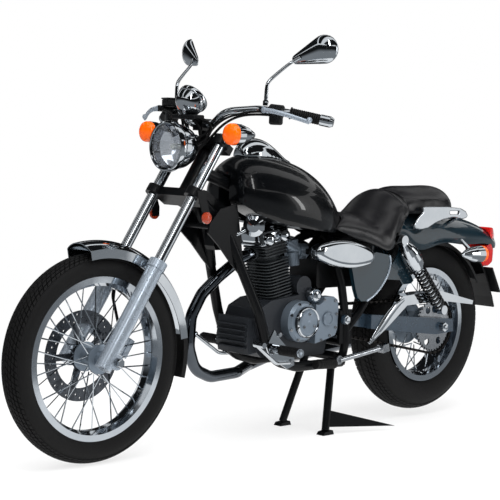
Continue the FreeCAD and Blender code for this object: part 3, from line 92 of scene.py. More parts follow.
# Each finish: its two shades, roughness and how far that strays, metal share, the size of its
# mottling and the depth of its grain in millimetres, and what else its shader is told.
FINISH_TABLE = (
    # decorative chrome over nickel: a hard mirror with a faint blue cast, slightly hazed in drifts
    ("chrome plate", "#CDD2D6", "#B9BFC5", 0.06, 0.03, 1.0, 70.0, 0.0, {}),
    # chrome yellowed and darkened by the hot gas inside: a deep grey mirror
    ("smoked exhaust chrome", "#5E6369", "#4C5157", 0.09, 0.05, 1.0, 90.0, 0.0, {}),
    # stove-enamelled black under clear lacquer: bottomless black with sharp reflections
    ("black lacquer", "#030405", "#050608", 0.3, 0.04, 0.0, 120.0, 0.0,
     {"Coat Weight": 0.55, "Coat Roughness": 0.03, "Specular IOR Level": 0.12}),
    # the same lacquer over a blue-green black, as on the side panels and the rear fender; the blue-green is
    # partly their own tone and partly a painted blue cast of their reflections
    ("petrol black lacquer", "#0C1C24", "#0F222B", 0.3, 0.04, 0.0, 140.0, 0.0,
     {"Coat Weight": 1.0, "Coat Roughness": 0.04, "Specular IOR Level": 0.2}),
    # powder coat on tube: black with a slightly broken sheen like orange peel
    ("black powder coat", "#050607", "#08090B", 0.36, 0.08, 0.0, 3.0, 0.05,
     {"Coat Weight": 0.06, "Coat Roughness": 0.2, "Specular IOR Level": 0.12}),
    # blue-grey enamel with a little metal flake in it
    ("blue-grey enamel", "#23303C", "#2C3B48", 0.3, 0.06, 0.25, 24.0, 0.0,
     {"Coat Weight": 0.4, "Coat Roughness": 0.12}),
    # die-cast aluminium under clear lacquer: blue-grey satin metal with a cast grain
    ("cast aluminium", "#78838F", "#68747F", 0.38, 0.08, 0.6, 1.6, 0.03, {}),
    # buffed aluminium: pale satin drifting between bright and hazy
    ("polished aluminium", "#A9B3BE", "#95A0AC", 0.26, 0.08, 0.65, 30.0, 0.0, {"Coat Weight": 0.3}),
    # heat-proof paint over a sand-cast case: charcoal, nearly matte, finely pitted
    ("engine grey", "#2B2E33", "#202327", 0.44, 0.08, 0.35, 1.2, 0.06, {"Specular IOR Level": 0.4}),
    # the same paint on the barrel's fins, drifting between two dark greys
    ("fin black", "#26292B", "#33373A", 0.36, 0.1, 0.3, 2.4, 0.05, {"Specular IOR Level": 0.4}),
    # zinc-plated steel: mid grey, soft reflections, cloudy
    ("bright steel", "#A2A6AA", "#8A8E93", 0.24, 0.08, 1.0, 14.0, 0.0, {}),
    # chromed rims, a little duller than the bright parts
    ("wheel chrome", "#B9BFC5", "#A6ADB4", 0.09, 0.05, 1.0, 60.0, 0.0, {}),
    # ground disc steel, tarnished between the pads' strokes
    ("worn disc steel", "#565A60", "#45494E", 0.3, 0.1, 0.9, 20.0, 0.0, {}),
    # deep red-brown acrylic of the side reflectors
    ("ruby reflector", "#7C2A16", "#93341B", 0.12, 0.03, 0.0, 5.0, 0.2, {"Coat Weight": 0.6}),
    # oiled steel: brown-black in the hollows, grey where it is rubbed
    ("dark steel", "#2A2A2C", "#4A4744", 0.38, 0.12, 1.0, 5.0, 0.0, {}),
    # dipped enamel over spring wire: black with a soft gloss
    ("black spring enamel", "#08090A", "#0C0D0F", 0.26, 0.06, 0.0, 12.0, 0.0,
     {"Coat Weight": 0.4, "Coat Roughness": 0.1, "Specular IOR Level": 0.3}),
    # vulcanised tread rubber with carbon black: very dark and dull, dusty in patches
    ("tyre rubber", "#0B0B0C", "#131313", 0.68, 0.1, 0.0, 4.0, 0.08, {"Specular IOR Level": 0.18}),
    # softer rubber of grips and pegs: dark, dull and smooth
    ("moulded rubber", "#090909", "#0F0F10", 0.58, 0.08, 0.0, 2.0, 0.05, {"Specular IOR Level": 0.2}),
    # expanded vinyl over foam: black with a low sheen and leather-like pebbles
    ("seat vinyl", "#08080A", "#0D0D10", 0.36, 0.06, 0.0, 2.2, 0.1, {"Specular IOR Level": 0.6}),
    # grained black plastic of housings and guards
    ("moulded ABS", "#08090A", "#0C0D0F", 0.42, 0.06, 0.0, 1.8, 0.04, {"Specular IOR Level": 0.28}),
    # tinted acrylic, clear-coated, with a fine grain in its surface
    ("amber acrylic", "#DC4E02", "#EA6408", 0.1, 0.03, 0.0, 9.0, 0.25,
     {"Coat Weight": 0.5, "Coat Roughness": 0.03}),
    ("red acrylic", "#A80E0C", "#C4160F", 0.1, 0.03, 0.0, 9.0, 0.25,
     {"Coat Weight": 0.6, "Coat Roughness": 0.03}),
    # lamp glass: clear, faintly green at the edge
    ("clear lamp glass", "#F0F4F4", "#FAFBFB", 0.02, 0.01, 0.0, 30.0, 0.0,
     {"Transmission Weight": 1.0, "IOR": 1.45}),
    # inside of the headlamp: a vacuum-coated mirror, greyer than chrome
    ("lamp reflector", "#A6A9B0", "#8A8E97", 0.08, 0.04, 1.0, 16.0, 0.0, {}),
    ("frosted bulb glass", "#EDEFF0", "#E3E6E8", 0.35, 0.05, 0.0, 6.0, 0.0, {"Transmission Weight": 0.6}),
    # silvered glass: a plain flat mirror
    ("mirror glass", "#DDE0E2", "#D5D9DC", 0.01, 0.005, 1.0, 200.0, 0.0, {}),
    # baked white enamel of a blank plate
    ("plate enamel", "#D9DBDA", "#D2D5D5", 0.35, 0.05, 0.0, 40.0, 0.0, {}),
    # screen-printed plastic: flat black, so that the marks read
    ("printed black dial", "#0B0B0C", "#0E0E10", 0.45, 0.04, 0.0, 6.0, 0.0, {"Specular IOR Level": 0.3}),
    ("white dial ink", "#E9EAE8", "#DFE0DE", 0.5, 0.04, 0.0, 3.0, 0.0, {}))


def make_finish(name, shade, second_shade, roughness, stray, metal, cell, relief, sockets):
    """One finish whose colour, gloss and grain all drift with a noise of a real size."""
    noise = {"Scale": 1000.0 / cell}
    finish = bpy.data.materials.new(name)
    finish.use_nodes = True
    tree = finish.node_tree
    shader = tree.nodes["Principled BSDF"]
    for socket, value in {"Metallic": metal, **sockets}.items():
        shader.inputs[socket].default_value = value
    place = add_node(tree, "ShaderNodeTexCoord").outputs["Object"]
    drift = add_node(tree, "ShaderNodeTexNoise", {**noise, "Detail": 3.0}, links={"Vector": place})
    shades = add_node(tree, "ShaderNodeMix", settings={"data_type": "RGBA"})
    shades.inputs[MIX_FIRST].default_value = shade
    shades.inputs[MIX_SECOND].default_value = second_shade
    tree.links.new(drift.outputs["Fac"], shades.inputs[MIX_SHARE])
    tree.links.new(shades.outputs[MIX_COLOUR], shader.inputs["Base Color"])
    gloss = add_node(tree, "ShaderNodeMapRange",
                     {"From Min": 0.3, "From Max": 0.7, "To Min": max(roughness - stray, 0.005),
                      "To Max": roughness + stray}, links={"Value": drift.outputs["Fac"]})
    tree.links.new(gloss.outputs["Result"], shader.inputs["Roughness"])
    if relief > 0:
        grain = add_node(tree, "ShaderNodeTexNoise", {**noise, "Detail": 4.0}, links={"Vector": place})
        bump = add_node(tree, "ShaderNodeBump", {"Strength": 1.0, "Distance": relief * MM},
                        links={"Height": grain.outputs["Fac"]})
        tree.links.new(bump.outputs["Normal"], shader.inputs["Normal"])
    return finish


NODE_FINISH = {
    "black powder coat": ("frame", "centre_stand", "fork_clamps"),
    "blue-grey enamel": ("swing_arm",),
    "bright steel": ("rear_axle", "front_axle", "rear_sprocket", "side_stand"),
    "worn disc steel": ("brake_disc",),
    "dark steel": ("drive_chain",),
    "chrome plate": ("shock_absorbers", "shock_springs", "air_covers", "tank_console", "grab_rails",
                     "rear_indicators", "chain_guard", "horn", "fork_tubes", "handlebar", "mirrors",
                     "headlamp", "front_indicators", "speedometer", "front_fender", "foot_controls"),
    "wheel chrome": ("front_rim", "rear_rim"),
    "smoked exhaust chrome": ("exhaust",),
    "cast aluminium": ("engine_covers", "front_hub", "rear_hub", "carburettor"),
    "engine grey": ("crankcase",),
    "fin black": ("cylinder", "cylinder_head"),
    "polished aluminium": ("fork_sliders", "brake_caliper"),
    "moulded ABS": ("air_box", "mud_flap", "hand_controls", "number_plate"),
    "black lacquer": ("fuel_tank",),
    "petrol black lacquer": ("rear_fender", "side_covers"),
    "seat vinyl": ("rider_seat", "pillion_seat"),
    "red acrylic": ("tail_lamp",),
    "amber acrylic": ("rear_lenses", "front_lenses"),
    "moulded rubber": ("foot_pegs", "grips", "fender_flap", "brake_hose"),
    "tyre rubber": ("front_tyre", "rear_tyre"),
    "clear lamp glass": ("headlamp_glass",),
    "mirror glass": ("mirror_glass",),
}
FINISHES = {}


# ------------------------------------------------------------------ shaping
def at(x, y, z):
    """A place on the machine's drawing, in millimetres, as a point of the frame."""
    return Vector((x + DATUM, y, z)) * MM


def on_fork(ahead, side, up):
    """A point ahead of, beside and up the steering axis, in millimetres."""
    x, z = STEM_FOOT
    return at(x + ahead * math.cos(RAKE) - up * math.sin(RAKE), side,
              z + ahead * math.sin(RAKE) + up * math.cos(RAKE))


def on_cylinder(x, y, z):
    """A point in the leaning cylinder's own frame, in millimetres."""
    lean_cos, lean_sin = math.cos(CYLINDER_LEAN), math.sin(CYLINDER_LEAN)
    return at(CYLINDER_FOOT[0] + x * lean_cos + z * lean_sin, y,
              CYLINDER_FOOT[1] - x * lean_sin + z * lean_cos)


def deselect():
    """Leaves edit mode and selects nothing."""
    if bpy.context.mode != "OBJECT":
        bpy.ops.object.mode_set(mode="OBJECT")
    bpy.ops.object.select_all(action="DESELECT")


def pick(piece):
    """Makes one piece active and the only one selected."""
    deselect()
    piece.select_set(True)
    bpy.context.view_layer.objects.active = piece


def edit(piece, choice="DESELECT"):
    """Opens a piece for face work with nothing selected, or with SELECT everything."""
    pick(piece)
    bpy.ops.object.mode_set(mode="EDIT")
    bpy.ops.mesh.select_mode(type="FACE")
    bpy.ops.mesh.select_all(action=choice)


def choose(piece, test):
    """Selects the faces whose centre and normal pass a test, in an open piece."""
    mesh = bmesh.from_edit_mesh(piece.data)
    for face in mesh.faces:
        face.select_set(bool(test(face.calc_center_median(), face.normal)))
    bmesh.update_edit_mesh(piece.data)


def outward(piece):
    """Merges doubles and turns every face outwards."""
    edit(piece, "SELECT")
    bpy.ops.mesh.remove_doubles(threshold=1e-6)
    bpy.ops.mesh.normals_make_consistent(inside=False)
    deselect()


def fix():
    """Applies the place, turn and size of what is selected."""
    bpy.ops.object.transform_apply(location=True, rotation=True, scale=True)


def settle(piece, centre, axis=UP, turn=0.0):
    """Turns a piece modelled about Z to an axis, moves it to its place and applies both."""
    pick(piece)
    piece.rotation_mode = "QUATERNION"
    piece.rotation_quaternion = UP.rotation_difference(axis.normalized()) @ Quaternion(UP, turn)
    piece.location = centre
    fix()
    return piece


def stretch(piece, shares, centre):
    """Scales a piece about a centre, by a share along each axis."""
    edit(piece, "SELECT")
    bpy.ops.transform.resize(value=shares, center_override=centre)
    deselect()


def modify(piece, kind, **settings):
    """Gives a piece a modifier with its settings and applies it."""
    pick(piece)
    modifier = piece.modifiers.new(kind, kind)
    for name, value in settings.items():
        setattr(modifier, name, value)
    bpy.ops.object.modifier_apply(modifier=kind)


def circle(steps, radius, fill="NOTHING", turn=0.0):
    """Circle about the origin with a radius in metres, turned about X."""
    deselect()
    bpy.ops.mesh.primitive_circle_add(vertices=steps, radius=radius, fill_type=fill, location=ORIGIN,
                                      rotation=(turn, 0, 0))
    return bpy.context.object


def turned(profile, steps):
    """Solid of revolution about Z, drawn out ring by ring from (radius, height) in millimetres."""
    radius, height = profile[0]
    piece = circle(steps, radius * MM, "NGON")
    edit(piece, "SELECT")
    bpy.ops.transform.translate(value=(0, 0, height * MM))
    for next_radius, next_height in profile[1:]:
        bpy.ops.mesh.extrude_region_move(
            TRANSFORM_OT_translate={"value": (0, 0, (next_height - height) * MM)})
        height = next_height
        if next_radius == 0:
            bpy.ops.mesh.merge(type="CENTER")
            break
        share = next_radius / radius
        bpy.ops.transform.resize(value=(share, share, 1), center_override=(0, 0, height * MM))
        radius = next_radius
    outward(piece)
    return piece


def bored(profile, steps, within):
    """A turned ring: the caps inside a radius in metres are taken out and the rims bridged."""
    ring = turned(profile, steps)
    edit(ring)
    choose(ring, lambda place, normal: abs(normal.z) > 0.9 and place.length < within)
    bpy.ops.mesh.delete(type="FACE")
    bpy.ops.mesh.select_mode(type="EDGE")
    bpy.ops.mesh.select_all(action="DESELECT")
    bpy.ops.mesh.select_non_manifold()
    bpy.ops.mesh.bridge_edge_loops()
    outward(ring)
    return ring


def block(size, bevel=0.0, segments=3):
    """Box of a size in millimetres about the origin, its edges rounded."""
    deselect()
    bpy.ops.mesh.primitive_cube_add(size=1, location=ORIGIN)
    piece = bpy.context.object
    edit(piece, "SELECT")
    bpy.ops.transform.resize(value=[side * MM for side in size], center_override=ORIGIN)
    if bevel:
        bpy.ops.mesh.bevel(offset=bevel * MM, segments=segments, affect="EDGES")
    outward(piece)
    return piece


def tube(points, radius, shares=None, resolution=8):
    """Bar along a smooth curve through the run of points; shares scale its radius at each point."""
    deselect()
    bpy.ops.curve.primitive_nurbs_path_add(radius=1, location=ORIGIN)
    piece = bpy.context.object
    spline = piece.data.splines[0]
    spline.points.add(max(0, len(points) - len(spline.points)))
    last = len(points) - 1
    for number, point in enumerate(spline.points):
        point.co = (*points[min(number, last)], 1.0)
        point.radius = shares[min(number, last)] if shares else 1.0
    spline.use_endpoint_u = True
    spline.order_u = 3
    piece.data.resolution_u = resolution
    piece.data.bevel_depth = radius * MM
    piece.data.bevel_resolution = 3
    piece.data.use_fill_caps = True
    bpy.ops.object.convert(target="MESH")
    outward(piece)
    return piece


def join(pieces):
    """One object from several."""
    pick(pieces[0])
    for piece in pieces[1:]:
        piece.select_set(True)
    bpy.ops.object.join()
    return pieces[0]


def repeat(pattern, placings):
    """Copies of a pattern at each placing, joined; the pattern itself is used up."""
    made = []
    for place in placings:
        copy = pattern.copy()
        copy.data = pattern.data.copy()
        bpy.context.scene.collection.objects.link(copy)
        copy.matrix_world = place
        made.append(copy)
    bpy.data.objects.remove(pattern)
    whole = join(made)
    fix()
    return whole


def placing(centre, axis):
    """The matrix that stands a pattern's Z on an axis at a centre."""
    return Matrix.Translation(centre) @ UP.rotation_difference(axis.normalized()).to_matrix().to_4x4()


def laid(centre, first, third):
    """The matrix that lays a pattern's X and Z along two ways at a centre."""
    return Matrix.Translation(centre) @ Matrix((first, third.cross(first), third)).transposed().to_4x4()


def with_twin(piece):
    """Adds the right-hand twin of a left-hand piece."""
    modify(piece, "MIRROR", use_axis=(False, True, False), use_mirror_merge=False)
    outward(piece)
    return piece


def dress(piece, name, finish, body, replaced=(), sharp=38):
    """Names a finished piece, gives it its finish and hands it to its body."""
    pick(piece)
    piece.name = name
    piece.data.name = name
    piece.data.materials.clear()
    piece.data.materials.append(FINISHES[finish])
    bpy.ops.object.shade_smooth_by_angle(angle=math.radians(sharp))
    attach(piece, body)
    if replaced:
        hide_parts(*replaced)


def middle(node):
    """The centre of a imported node's box."""
    low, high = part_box(node)
    return (Vector(low) + Vector(high)) / 2


# ------------------------------------------------------------------ settings
class MachineSettings(bpy.types.PropertyGroup):
    """Colours and sizes of the machine that a user would change"""
    tank_colour: FloatVectorProperty(name="Tank", description="Lacquer of the fuel tank", size=4,
                                     default=linear("#030405"), subtype="COLOR")
    # the panels' default colour is partly their own blue-green black and partly a painted blue cast of their
    # reflections
    panel_colour: FloatVectorProperty(name="Panels", description="Lacquer of side covers and rear fender",
                                      size=4, default=linear("#0C1C24"), subtype="COLOR")
    lens_colour: FloatVectorProperty(name="Indicators", description="Acrylic of the indicator lenses",
                                     size=4, default=linear("#DC4E02"), subtype="COLOR")
    tread_height: FloatProperty(name="Tread", description="Height of the tyres' tread blocks",
                                default=4.0 * MM, unit="LENGTH")
    spring_turns: IntProperty(name="Spring turns", description="Coils of each rear spring", default=10)


class StudioSettings(bpy.types.PropertyGroup):
    """Camera and light of the stage"""
    lens: FloatProperty(name="Lens", description="Focal length of the camera", default=108.96, unit="CAMERA")
    camera_place: FloatVectorProperty(name="Camera", description="Where the camera stands", size=3,
                                      default=(3.5230, 3.4411, 0.9574), subtype="TRANSLATION")
    camera_turn: FloatVectorProperty(
        name="Heading, pitch and roll", description="Which way the camera looks", size=3, subtype="EULER",
        default=(math.radians(-134.3667), math.radians(4.13119), math.radians(2.05782)))
    ambient: FloatProperty(name="Ambient", description="Strength of the even light all round", default=0.7)
    key: FloatProperty(name="Key light", description="Power of the large overhead panel", default=160.0,
                       unit="POWER")


# ------------------------------------------------------------------ operators
# Graded cards stand round the machine for polished metal and lacquer to mirror. All are in metres.
CARD_RADIUS = 5.6
WALL_HEIGHT = 3.2
WALL_CARDS = ((54.5, 139), (170, 38), (225, 60), (305, 90))     # heading and width in degrees
WALL_STEPS = 4                                                  # flat cards in each piece of wall
CEILING = 3.9
CEILING_EDGES = (-CARD_RADIUS, -1.8, -1.3, 0.3, 1.7, CARD_RADIUS)     # y from card to clear strip and back
FLOOR_CARDS = 12
FLOOR_NEAR = 1.3
SHORT_CARD, SHORT_RADIUS = 4, 3.0      # this floor card ends early: the left side mirrors white air past it
FLOOR_DROP = 1.5 * MM                  # the paper lies this far under the tyres
SEEN_RAYS = ("Is Camera Ray", "Is Glossy Ray", "Is Transmission Ray")
WHITE = (1, 1, 1, 1)


def fresh_tree(owner):
    """The emptied node tree of a material or world."""
    owner.use_nodes = True
    owner.node_tree.nodes.clear()
    return owner.node_tree


def split_by_sight(tree, unseen, seen, out_kind, share=None):
    """Ends a tree in one shader for rays that look and another for rays that light."""
    rays = add_node(tree, "ShaderNodeLightPath")
    sight = rays.outputs[SEEN_RAYS[0]]
    for name in SEEN_RAYS[1:]:
        sight = add_node(tree, "ShaderNodeMath", settings={"operation": "MAXIMUM"},
                         links={0: sight, 1: rays.outputs[name]}).outputs[0]
    if share:
        sight = add_node(tree, "ShaderNodeMath", settings={"operation": "MULTIPLY"},
                         links={0: share, 1: sight}).outputs[0]
    mix = add_node(tree, "ShaderNodeMixShader", links={0: sight, 1: unseen.outputs[0], 2: seen.outputs[0]})
    add_node(tree, out_kind, links={"Surface": mix.outputs[0]})


class MOTORCYCLE_OT_stage(bpy.types.Operator):
    """Floor, graded cards, camera and soft studio light"""
    bl_idname = "motorcycle.stage"
    bl_label = "Studio stage"

    def execute(self, context):
        settings = context.scene.studio
        context.scene.view_settings.view_transform = "Standard"
        deselect()
        self.set_camera(context.scene, settings)
        self.fill_air(context.scene, settings.ambient)
        self.lay_floor()
        self.hang_cards(context.scene)
        self.light(context.scene, settings.key)
        return {"FINISHED"}

    def set_camera(self, scene, settings):
        lens = bpy.data.cameras.new("camera")
        lens.lens = settings.lens
        lens.sensor_width = 36.0
        lens.clip_end = 100.0
        camera = bpy.data.objects.new("camera", lens)
        scene.collection.objects.link(camera)
        heading, pitch, roll = settings.camera_turn
        look = Vector((math.cos(pitch) * math.cos(heading), math.cos(pitch) * math.sin(heading),
                       -math.sin(pitch)))
        camera.location = settings.camera_place
        camera.rotation_mode = "QUATERNION"
        camera.rotation_quaternion = look.to_track_quat("-Z", "Y") @ Quaternion((0, 0, 1), roll)
        scene.camera = camera

    def fill_air(self, scene, ambient):
        """White air to look at, and an even light from all round."""
        scene.world = bpy.data.worlds.new("studio air")
        tree = fresh_tree(scene.world)
        even, white = [add_node(tree, "ShaderNodeBackground", {"Color": WHITE, "Strength": strength})
                       for strength in (ambient, 1.0)]
        split_by_sight(tree, even, white, "ShaderNodeOutputWorld")

    def lay_floor(self):
        """White paper that keeps the machine's shadow and fades into the white air."""
        floor = circle(96, 14.0, "NGON")
        floor.location.z = -FLOOR_DROP
        floor.name = "studio_floor"
        finish = bpy.data.materials.new("white paper floor")
        tree = fresh_tree(finish)
        place = add_node(tree, "ShaderNodeTexCoord")
        away = add_node(tree, "ShaderNodeVectorMath", settings={"operation": "LENGTH"},
                        links={0: place.outputs["Object"]})
        fade = add_node(tree, "ShaderNodeMapRange",
                        {"From Min": 1.3, "From Max": 2.6, "To Min": 0.72, "To Max": 1.0},
                        links={"Value": away.outputs["Value"]})
        paper = add_node(tree, "ShaderNodeBsdfDiffuse", {"Color": (0.86, 0.86, 0.86, 1)})
        glow = add_node(tree, "ShaderNodeEmission", {"Color": WHITE, "Strength": 1.0})
        split_by_sight(tree, paper, glow, "ShaderNodeOutputMaterial", fade.outputs["Result"])
        floor.data.materials.append(finish)

    def hang_cards(self, scene):
        """Cards that only mirrors see, glowing near the floor, dark above and with clear strips between."""
        finish = bpy.data.materials.new("graded studio card")
        tree = fresh_tree(finish)
        place = add_node(tree, "ShaderNodeTexCoord")
        split = add_node(tree, "ShaderNodeSeparateXYZ", links={"Vector": place.outputs["Object"]})
        grade = add_node(tree, "ShaderNodeMapRange",
                         {"From Min": 0.1, "From Max": 1.7, "To Min": 0.3, "To Max": 0.012},
                         {"interpolation_type": "SMOOTHSTEP"}, {"Value": split.outputs["Z"]})
        glow = add_node(tree, "ShaderNodeEmission", {"Color": (0.9, 0.95, 1.0, 1)},
                        links={"Strength": grade.outputs["Result"]})
        add_node(tree, "ShaderNodeOutputMaterial", links={"Surface": glow.outputs[0]})
        corners = []

        def polar(degrees, radius, height):
            angle = math.radians(degrees)
            return radius * math.cos(angle), radius * math.sin(angle), height
        for heading, width in WALL_CARDS:
            for step in range(WALL_STEPS):
                a, b = [heading + width * ((step + end) / WALL_STEPS - 0.5) for end in (0, 1)]
                corners += [polar(a, CARD_RADIUS, 0), polar(b, CARD_RADIUS, 0),
                            polar(b, CARD_RADIUS, WALL_HEIGHT), polar(a, CARD_RADIUS, WALL_HEIGHT)]
        for low, high in zip(CEILING_EDGES[::2], CEILING_EDGES[1::2]):
            corners += [(-CARD_RADIUS, low, CEILING), (CARD_RADIUS, low, CEILING),
                        (CARD_RADIUS, high, CEILING), (-CARD_RADIUS, high, CEILING)]
        for number in range(FLOOR_CARDS):
            far = SHORT_RADIUS if number == SHORT_CARD else CARD_RADIUS
            a, b = [360 / FLOOR_CARDS * edge for edge in (number, number + 1)]
            corners += [polar(a, FLOOR_NEAR, MM), polar(a, far, MM),
                        polar(b, far, MM), polar(b, FLOOR_NEAR, MM)]
        mesh = bpy.data.meshes.new("studio_flags")
        mesh.from_pydata(corners, [], [range(first, first + 4) for first in range(0, len(corners), 4)])
        mesh.materials.append(finish)
        cards = bpy.data.objects.new("studio_flags", mesh)
        scene.collection.objects.link(cards)
        for sight in ("camera", "diffuse", "transmission", "shadow"):
            setattr(cards, "visible_" + sight, False)

    def light(self, scene, key):
        panels = (  # name, place, size, share of the key light's power, seen in mirrors
            ("overhead_panel", (0.6, 0.8, 3.6), (4.0, 3.0), 1.0, False),
            ("left_panel", (1.5, 4.6, 2.2), (2.4, 2.4), 0.5, False),
            ("front_panel", (5.2, -1.0, 2.4), (2.2, 2.2), 0.35, False),
            ("rear_panel", (-4.4, -2.4, 2.6), (2.4, 2.4), 0.4, False),
            ("tank_strip", (1.9, 2.3, 3.3), (0.35, 2.2), 0.16, True),
            ("side_strip", (-2.8, 3.4, 1.5), (0.3, 1.8), 0.09, True))
        for name, place, size, share, mirrored in panels:
            lamp = bpy.data.lights.new(name, "AREA")
            lamp.shape = "RECTANGLE"
            lamp.size, lamp.size_y = size
            lamp.energy = key * share
            light = bpy.data.objects.new(name, lamp)
            scene.collection.objects.link(light)
            light.location = place
            light.rotation_euler = (UP * 0.6 - Vector(place)).to_track_quat("-Z", "Y").to_euler()
            light.visible_glossy = mirrored


class MOTORCYCLE_OT_finishes(bpy.types.Operator):
    """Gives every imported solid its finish"""
    bl_idname = "motorcycle.finishes"
    bl_label = "Finishes"

    def execute(self, context):
        settings = context.scene.machine
        # the panels' colour carries a painted blue cast of their reflections as well as their own tone
        colours = {"black lacquer": settings.tank_colour, "petrol black lacquer": settings.panel_colour,
                   "amber acrylic": settings.lens_colour}
        for name, shade, second, *rest in FINISH_TABLE:
            FINISHES[name] = make_finish(name, colours.get(name, linear(shade)), linear(second), *rest)
        for finish, names in NODE_FINISH.items():
            for name in names:
                piece = NODES[name]
                piece.data.materials.clear()
                piece.data.materials.append(FINISHES[finish])
        return {"FINISHED"}


class MOTORCYCLE_OT_tyres(bpy.types.Operator):
    """Tyres with raised tread blocks in a chevron"""
    bl_idname = "motorcycle.tyres"
    bl_label = "Tyres"

    def execute(self, context):
        height = context.scene.machine.tread_height
        spare = 0.2 * MM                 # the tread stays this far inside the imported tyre
        side_spare = 0.3 * MM            # and its side walls this far
        chevron = 0.16                   # how far the blocks sweep back at the tyre's side, in radians
        shoulder = 0.35                  # blocks stand only past this share of the section's depth
        taper = 1.4 * MM                 # how far each block's walls lean in
        tyres = (  # node, body, bead radius, squareness, steps round, points in the section, tread share
            ("front_tyre", "front_wheel", 230.0, 2.0, 104, 28, 0.74),
            ("rear_tyre", "rear_wheel", 190.0, 2.15, 92, 34, 0.76))
        for node, body, bead, square, steps, section, tread in tyres:
            low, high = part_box(node)
            radius = (high[2] - low[2]) / 2 - height - spare
            half = (high[1] - low[1]) / 2 - side_spare
            core = (radius + bead * MM) / 2
            depth = radius - core
            piece = circle(section, 1)
            edit(piece, "SELECT")
            ring = bmesh.from_edit_mesh(piece.data)
            for vertex in ring.verts:
                x, y = vertex.co.x, vertex.co.y
                vertex.co.x = core + depth * math.copysign(abs(x) ** (2 / square), x)
                vertex.co.y = half * math.copysign(abs(y) ** (2 / square), y)
            bmesh.update_edit_mesh(piece.data)
            bpy.ops.mesh.spin(steps=steps, angle=math.tau, center=ORIGIN, axis=LEFT)
            carcass = bmesh.from_edit_mesh(piece.data)
            for vertex in carcass.verts:
                vertex.co = Matrix.Rotation(chevron * abs(vertex.co.y) / half, 3, "Y") @ vertex.co
            bmesh.update_edit_mesh(piece.data)
            bpy.ops.mesh.select_all(action="SELECT")
            bpy.ops.mesh.normals_make_consistent(inside=False)
            groove = half / section

            def is_block(centre, normal):
                outer = math.hypot(centre.x, centre.z) > core + shoulder * depth
                return outer and groove < abs(centre.y) < half * tread
            choose(piece, is_block)
            bpy.ops.mesh.inset(thickness=taper, depth=height, use_individual=True)
            settle(piece, middle(node))
            dress(piece, node + "_tread", "tyre rubber", body, (node,), 30)
        return {"FINISHED"}


SHOCK_LOW = (-597, 150, 392)
SHOCK_TOP = (-368, 150, 640)


class MOTORCYCLE_OT_springs(bpy.types.Operator):
    """Wound coil springs on the rear dampers"""
    bl_idname = "motorcycle.springs"
    bl_label = "Coil springs"

    def execute(self, context):
        turns = context.scene.machine.spring_turns
        wire, coil, first, last = 4.2, 20.5, 24.0, 198.0     # two radii and the coil's two ends
        spring = circle(10, wire * MM, turn=math.pi / 2)
        fix()
        edit(spring, "SELECT")
        bpy.ops.transform.translate(value=(coil * MM, 0, (first + wire) * MM))
        modify(spring, "SCREW", screw_offset=(last - first - 2 * wire) / turns * MM, iterations=turns,
               steps=28, render_steps=28)
        edit(spring, "SELECT")
        bpy.ops.mesh.fill_holes(sides=0)
        outward(spring)
        settle(spring, at(*SHOCK_LOW), at(*SHOCK_TOP) - at(*SHOCK_LOW))
        with_twin(spring)
        dress(spring, "coil_springs", "black spring enamel", "chassis", ("shock_springs",))
        return {"FINISHED"}


class MOTORCYCLE_OT_chain(bpy.types.Operator):
    """Roller chain, link by link round both sprockets"""
    bl_idname = "motorcycle.chain"
    bl_label = "Drive chain"

    def execute(self, context):
        pitch, side = 12.7, 81.0
        small, small_radius = Vector((-58.0, 386.0)), 42.0
        big, big_radius = Vector((-637.0, 327.0)), 98.0
        plate_thick, plate_high, overlap = 1.3, 8.6, 7.6
        run = big - small
        lean = math.atan2(run.y, run.x)
        offset = math.acos((small_radius - big_radius) / run.length)
        straight = math.sqrt(run.length ** 2 - (big_radius - small_radius) ** 2)
        round_big = 2 * offset * big_radius
        total = 2 * straight + round_big + (math.tau - 2 * offset) * small_radius
        count = 2 * round(total / pitch / 2)

        def spot(centre, radius, angle):
            return centre + Vector((math.cos(angle), math.sin(angle))) * radius

        def on_run(start, end, gone):
            return start.lerp(end, gone / straight), (end - start).normalized()

        def on_round(centre, radius, angle):
            return spot(centre, radius, angle), Vector((-math.sin(angle), math.cos(angle)))

        def place(gone):
            """Point of the chain's line and its heading, after a distance along it."""
            under, over = lean - offset, lean + offset
            if gone < straight:
                return on_run(spot(small, small_radius, under), spot(big, big_radius, under), gone)
            gone -= straight
            if gone < round_big:
                return on_round(big, big_radius, under + gone / big_radius)
            gone -= round_big
            if gone < straight:
                return on_run(spot(big, big_radius, over), spot(small, small_radius, over), gone)
            return on_round(small, small_radius, over + (gone - straight) / small_radius)
        loops = []
        for odd, plate_side, roller in ((0, 6.0, 2.4), (1, 4.3, 4.0)):     # outer links, then inner links
            parts = []
            for y in (-plate_side, plate_side):
                plate = block((pitch + overlap, plate_thick, plate_high))
                edit(plate)
                choose(plate, lambda centre, normal: abs(normal.y) < 0.5)
                bpy.ops.mesh.bevel(offset=3.6 * MM, segments=2, affect="EDGES")
                outward(plate)
                parts.append(settle(plate, Vector((0, y * MM, 0))))
            for x in (-pitch / 2, pitch / 2):
                deselect()
                bpy.ops.mesh.primitive_cylinder_add(
                    vertices=10, radius=roller * MM, depth=(plate_side * 2 + 1.6) * MM,
                    location=(x * MM, 0, 0), rotation=(math.pi / 2, 0, 0))
                pin = bpy.context.object
                fix()
                edit(pin)
                choose(pin, lambda centre, normal: abs(normal.y) > 0.9)
                bpy.ops.mesh.inset(thickness=0.6 * MM, depth=0.3 * MM)
                parts.append(pin)
            link = join(parts)
            places = []
            for number in range(odd, count, 2):
                point, heading = place(total * (number + 0.5) / count)
                turn = Matrix.Rotation(-math.atan2(heading.y, heading.x), 4, "Y")
                places.append(Matrix.Translation(at(point.x, side, point.y)) @ turn)
            loops.append(repeat(link, places))
        dress(join(loops), "roller_chain", "dark steel", "chassis", ("drive_chain",))
        return {"FINISHED"}


